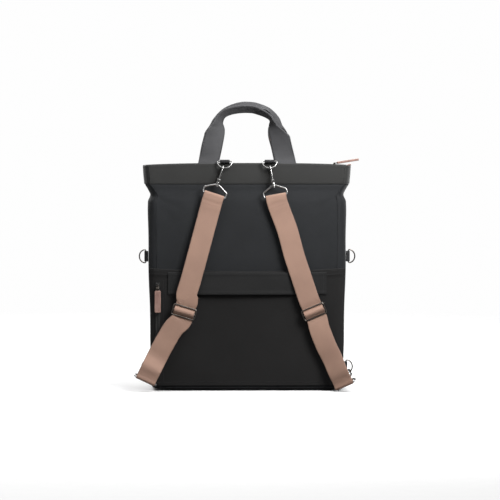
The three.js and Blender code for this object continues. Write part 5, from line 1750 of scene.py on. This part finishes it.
def pull_outline(start, length, half, steps=8):
    """Long tab with rounded corners, narrower at its start."""
    points = []
    for cx, cy, r, a0 in ((length - 2.4, half - 2.4, 2.4, 0), (start + 3, half - 2.6, 2.6, math.pi / 2),
                          (start + 3, -half + 2.6, 2.6, math.pi), (length - 2.4, -half + 2.4, 2.4, 3 * math.pi / 2)):
        for a in np.linspace(a0, a0 + math.pi / 2, steps):
            points.append((cx + r * math.cos(a), cy + r * math.sin(a)))
    return np.array(points)


def pull(name, length, matrix):
    start = eye_radius + 2.4
    half = pull_width / 2
    piece = Piece()
    outline_2d = pull_outline(start, length, half)
    centre = outline_2d.mean(axis=0)
    layers = []
    for inset, z in ((0.9, -1.3), (0.35, -1.18), (0.08, -0.8), (0.0, -0.3), (0.0, 0.3), (0.08, 0.8),
                     (0.35, 1.18), (0.9, 1.3), (1.6, 1.3), (2.6, 1.22)):
        way = unit(outline_2d - np.column_stack([np.clip(outline_2d[:, 0], start + half, length - half),
                                                 np.zeros(len(outline_2d))]))
        ring = outline_2d - way * inset
        layers.append(np.column_stack([ring, np.full(len(ring), z * pull_thick / 2.6)]))
    layers.insert(0, np.column_stack([outline_2d - way * 2.6, np.full(len(outline_2d), -1.22 * pull_thick / 2.6)]))
    piece.grid(np.array(layers), around=True, caps=True)
    piece.moved(0, matrix)
    piece.make(name, [blush_leather], body=name, replaces=[name], smooth_angle=60)
    fitting = Piece()
    add_slab(fitting, [(0, -eye_width / 2 + 0.2), (start + 3.4, -half * 0.62), (start + 3.4, half * 0.62),
                       (0, eye_width / 2 - 0.2)], -0.8, 0.8, first=WIDTH, second=DEPTH, third=UP)
    add_lathe(fitting, [(eye_radius - 0.2, -eye_width / 2), (eye_radius, -eye_width / 2 + 0.2),
                        (eye_radius, eye_width / 2 - 0.2), (eye_radius - 0.2, eye_width / 2)], (0, 0, 0), DEPTH,
              sides=24)
    fitting.moved(0, matrix)
    fitting.make(f"{name}_fitting", [dark_metal], body=name, smooth_angle=35, bevel=0.2)
    thread = Piece()
    inset = outline_2d - way * 1.7
    closed = np.vstack([inset, inset[:1]])
    line = evenly(np.column_stack([closed, np.full(len(closed), pull_thick / 2 * 0.99)]), 0.8)
    stitches(thread, line, np.tile(UP, (len(line), 1)), pitch=2.2, long=1.6, thread=0.2)
    thread.moved(0, matrix)
    thread.make(f"{name}_stitching", [blush_thread], body=name)


top_place = vec(top_slider_place, 0, ridge_height(top_slider_place) + coil_thick + 2 * gap)
top_frame = basis(WIDTH, DEPTH, UP, top_place)
slider("top_slider", slider_length, slider_width, top_frame)
rise = math.radians(top_pull_rise)
top_pull_frame = basis(vec(math.cos(rise), 0, math.sin(rise)), DEPTH, vec(-math.sin(rise), 0, math.cos(rise)),
                       top_place + UP * pin_height)
pull("top_pull", top_pull_length, top_pull_frame)

zip_front = -(pocket_face + gap)
pocket_frame = basis(vec(0, 0, -1), WIDTH, vec(0, -1, 0),
                     vec(-pocket_zip_place, zip_front - coil_thick - gap,
                         pocket_zip_top - pocket_slider_drop - slider_length / 2))
slider("pocket_slider", slider_length, slider_width * 0.8, pocket_frame)
pocket_pull_frame = pocket_frame.copy()
pocket_pull_frame[:3, 3] = apply(pocket_frame, (0, 0, pin_height))
pull("pocket_pull", pocket_pull_length, pocket_pull_frame)
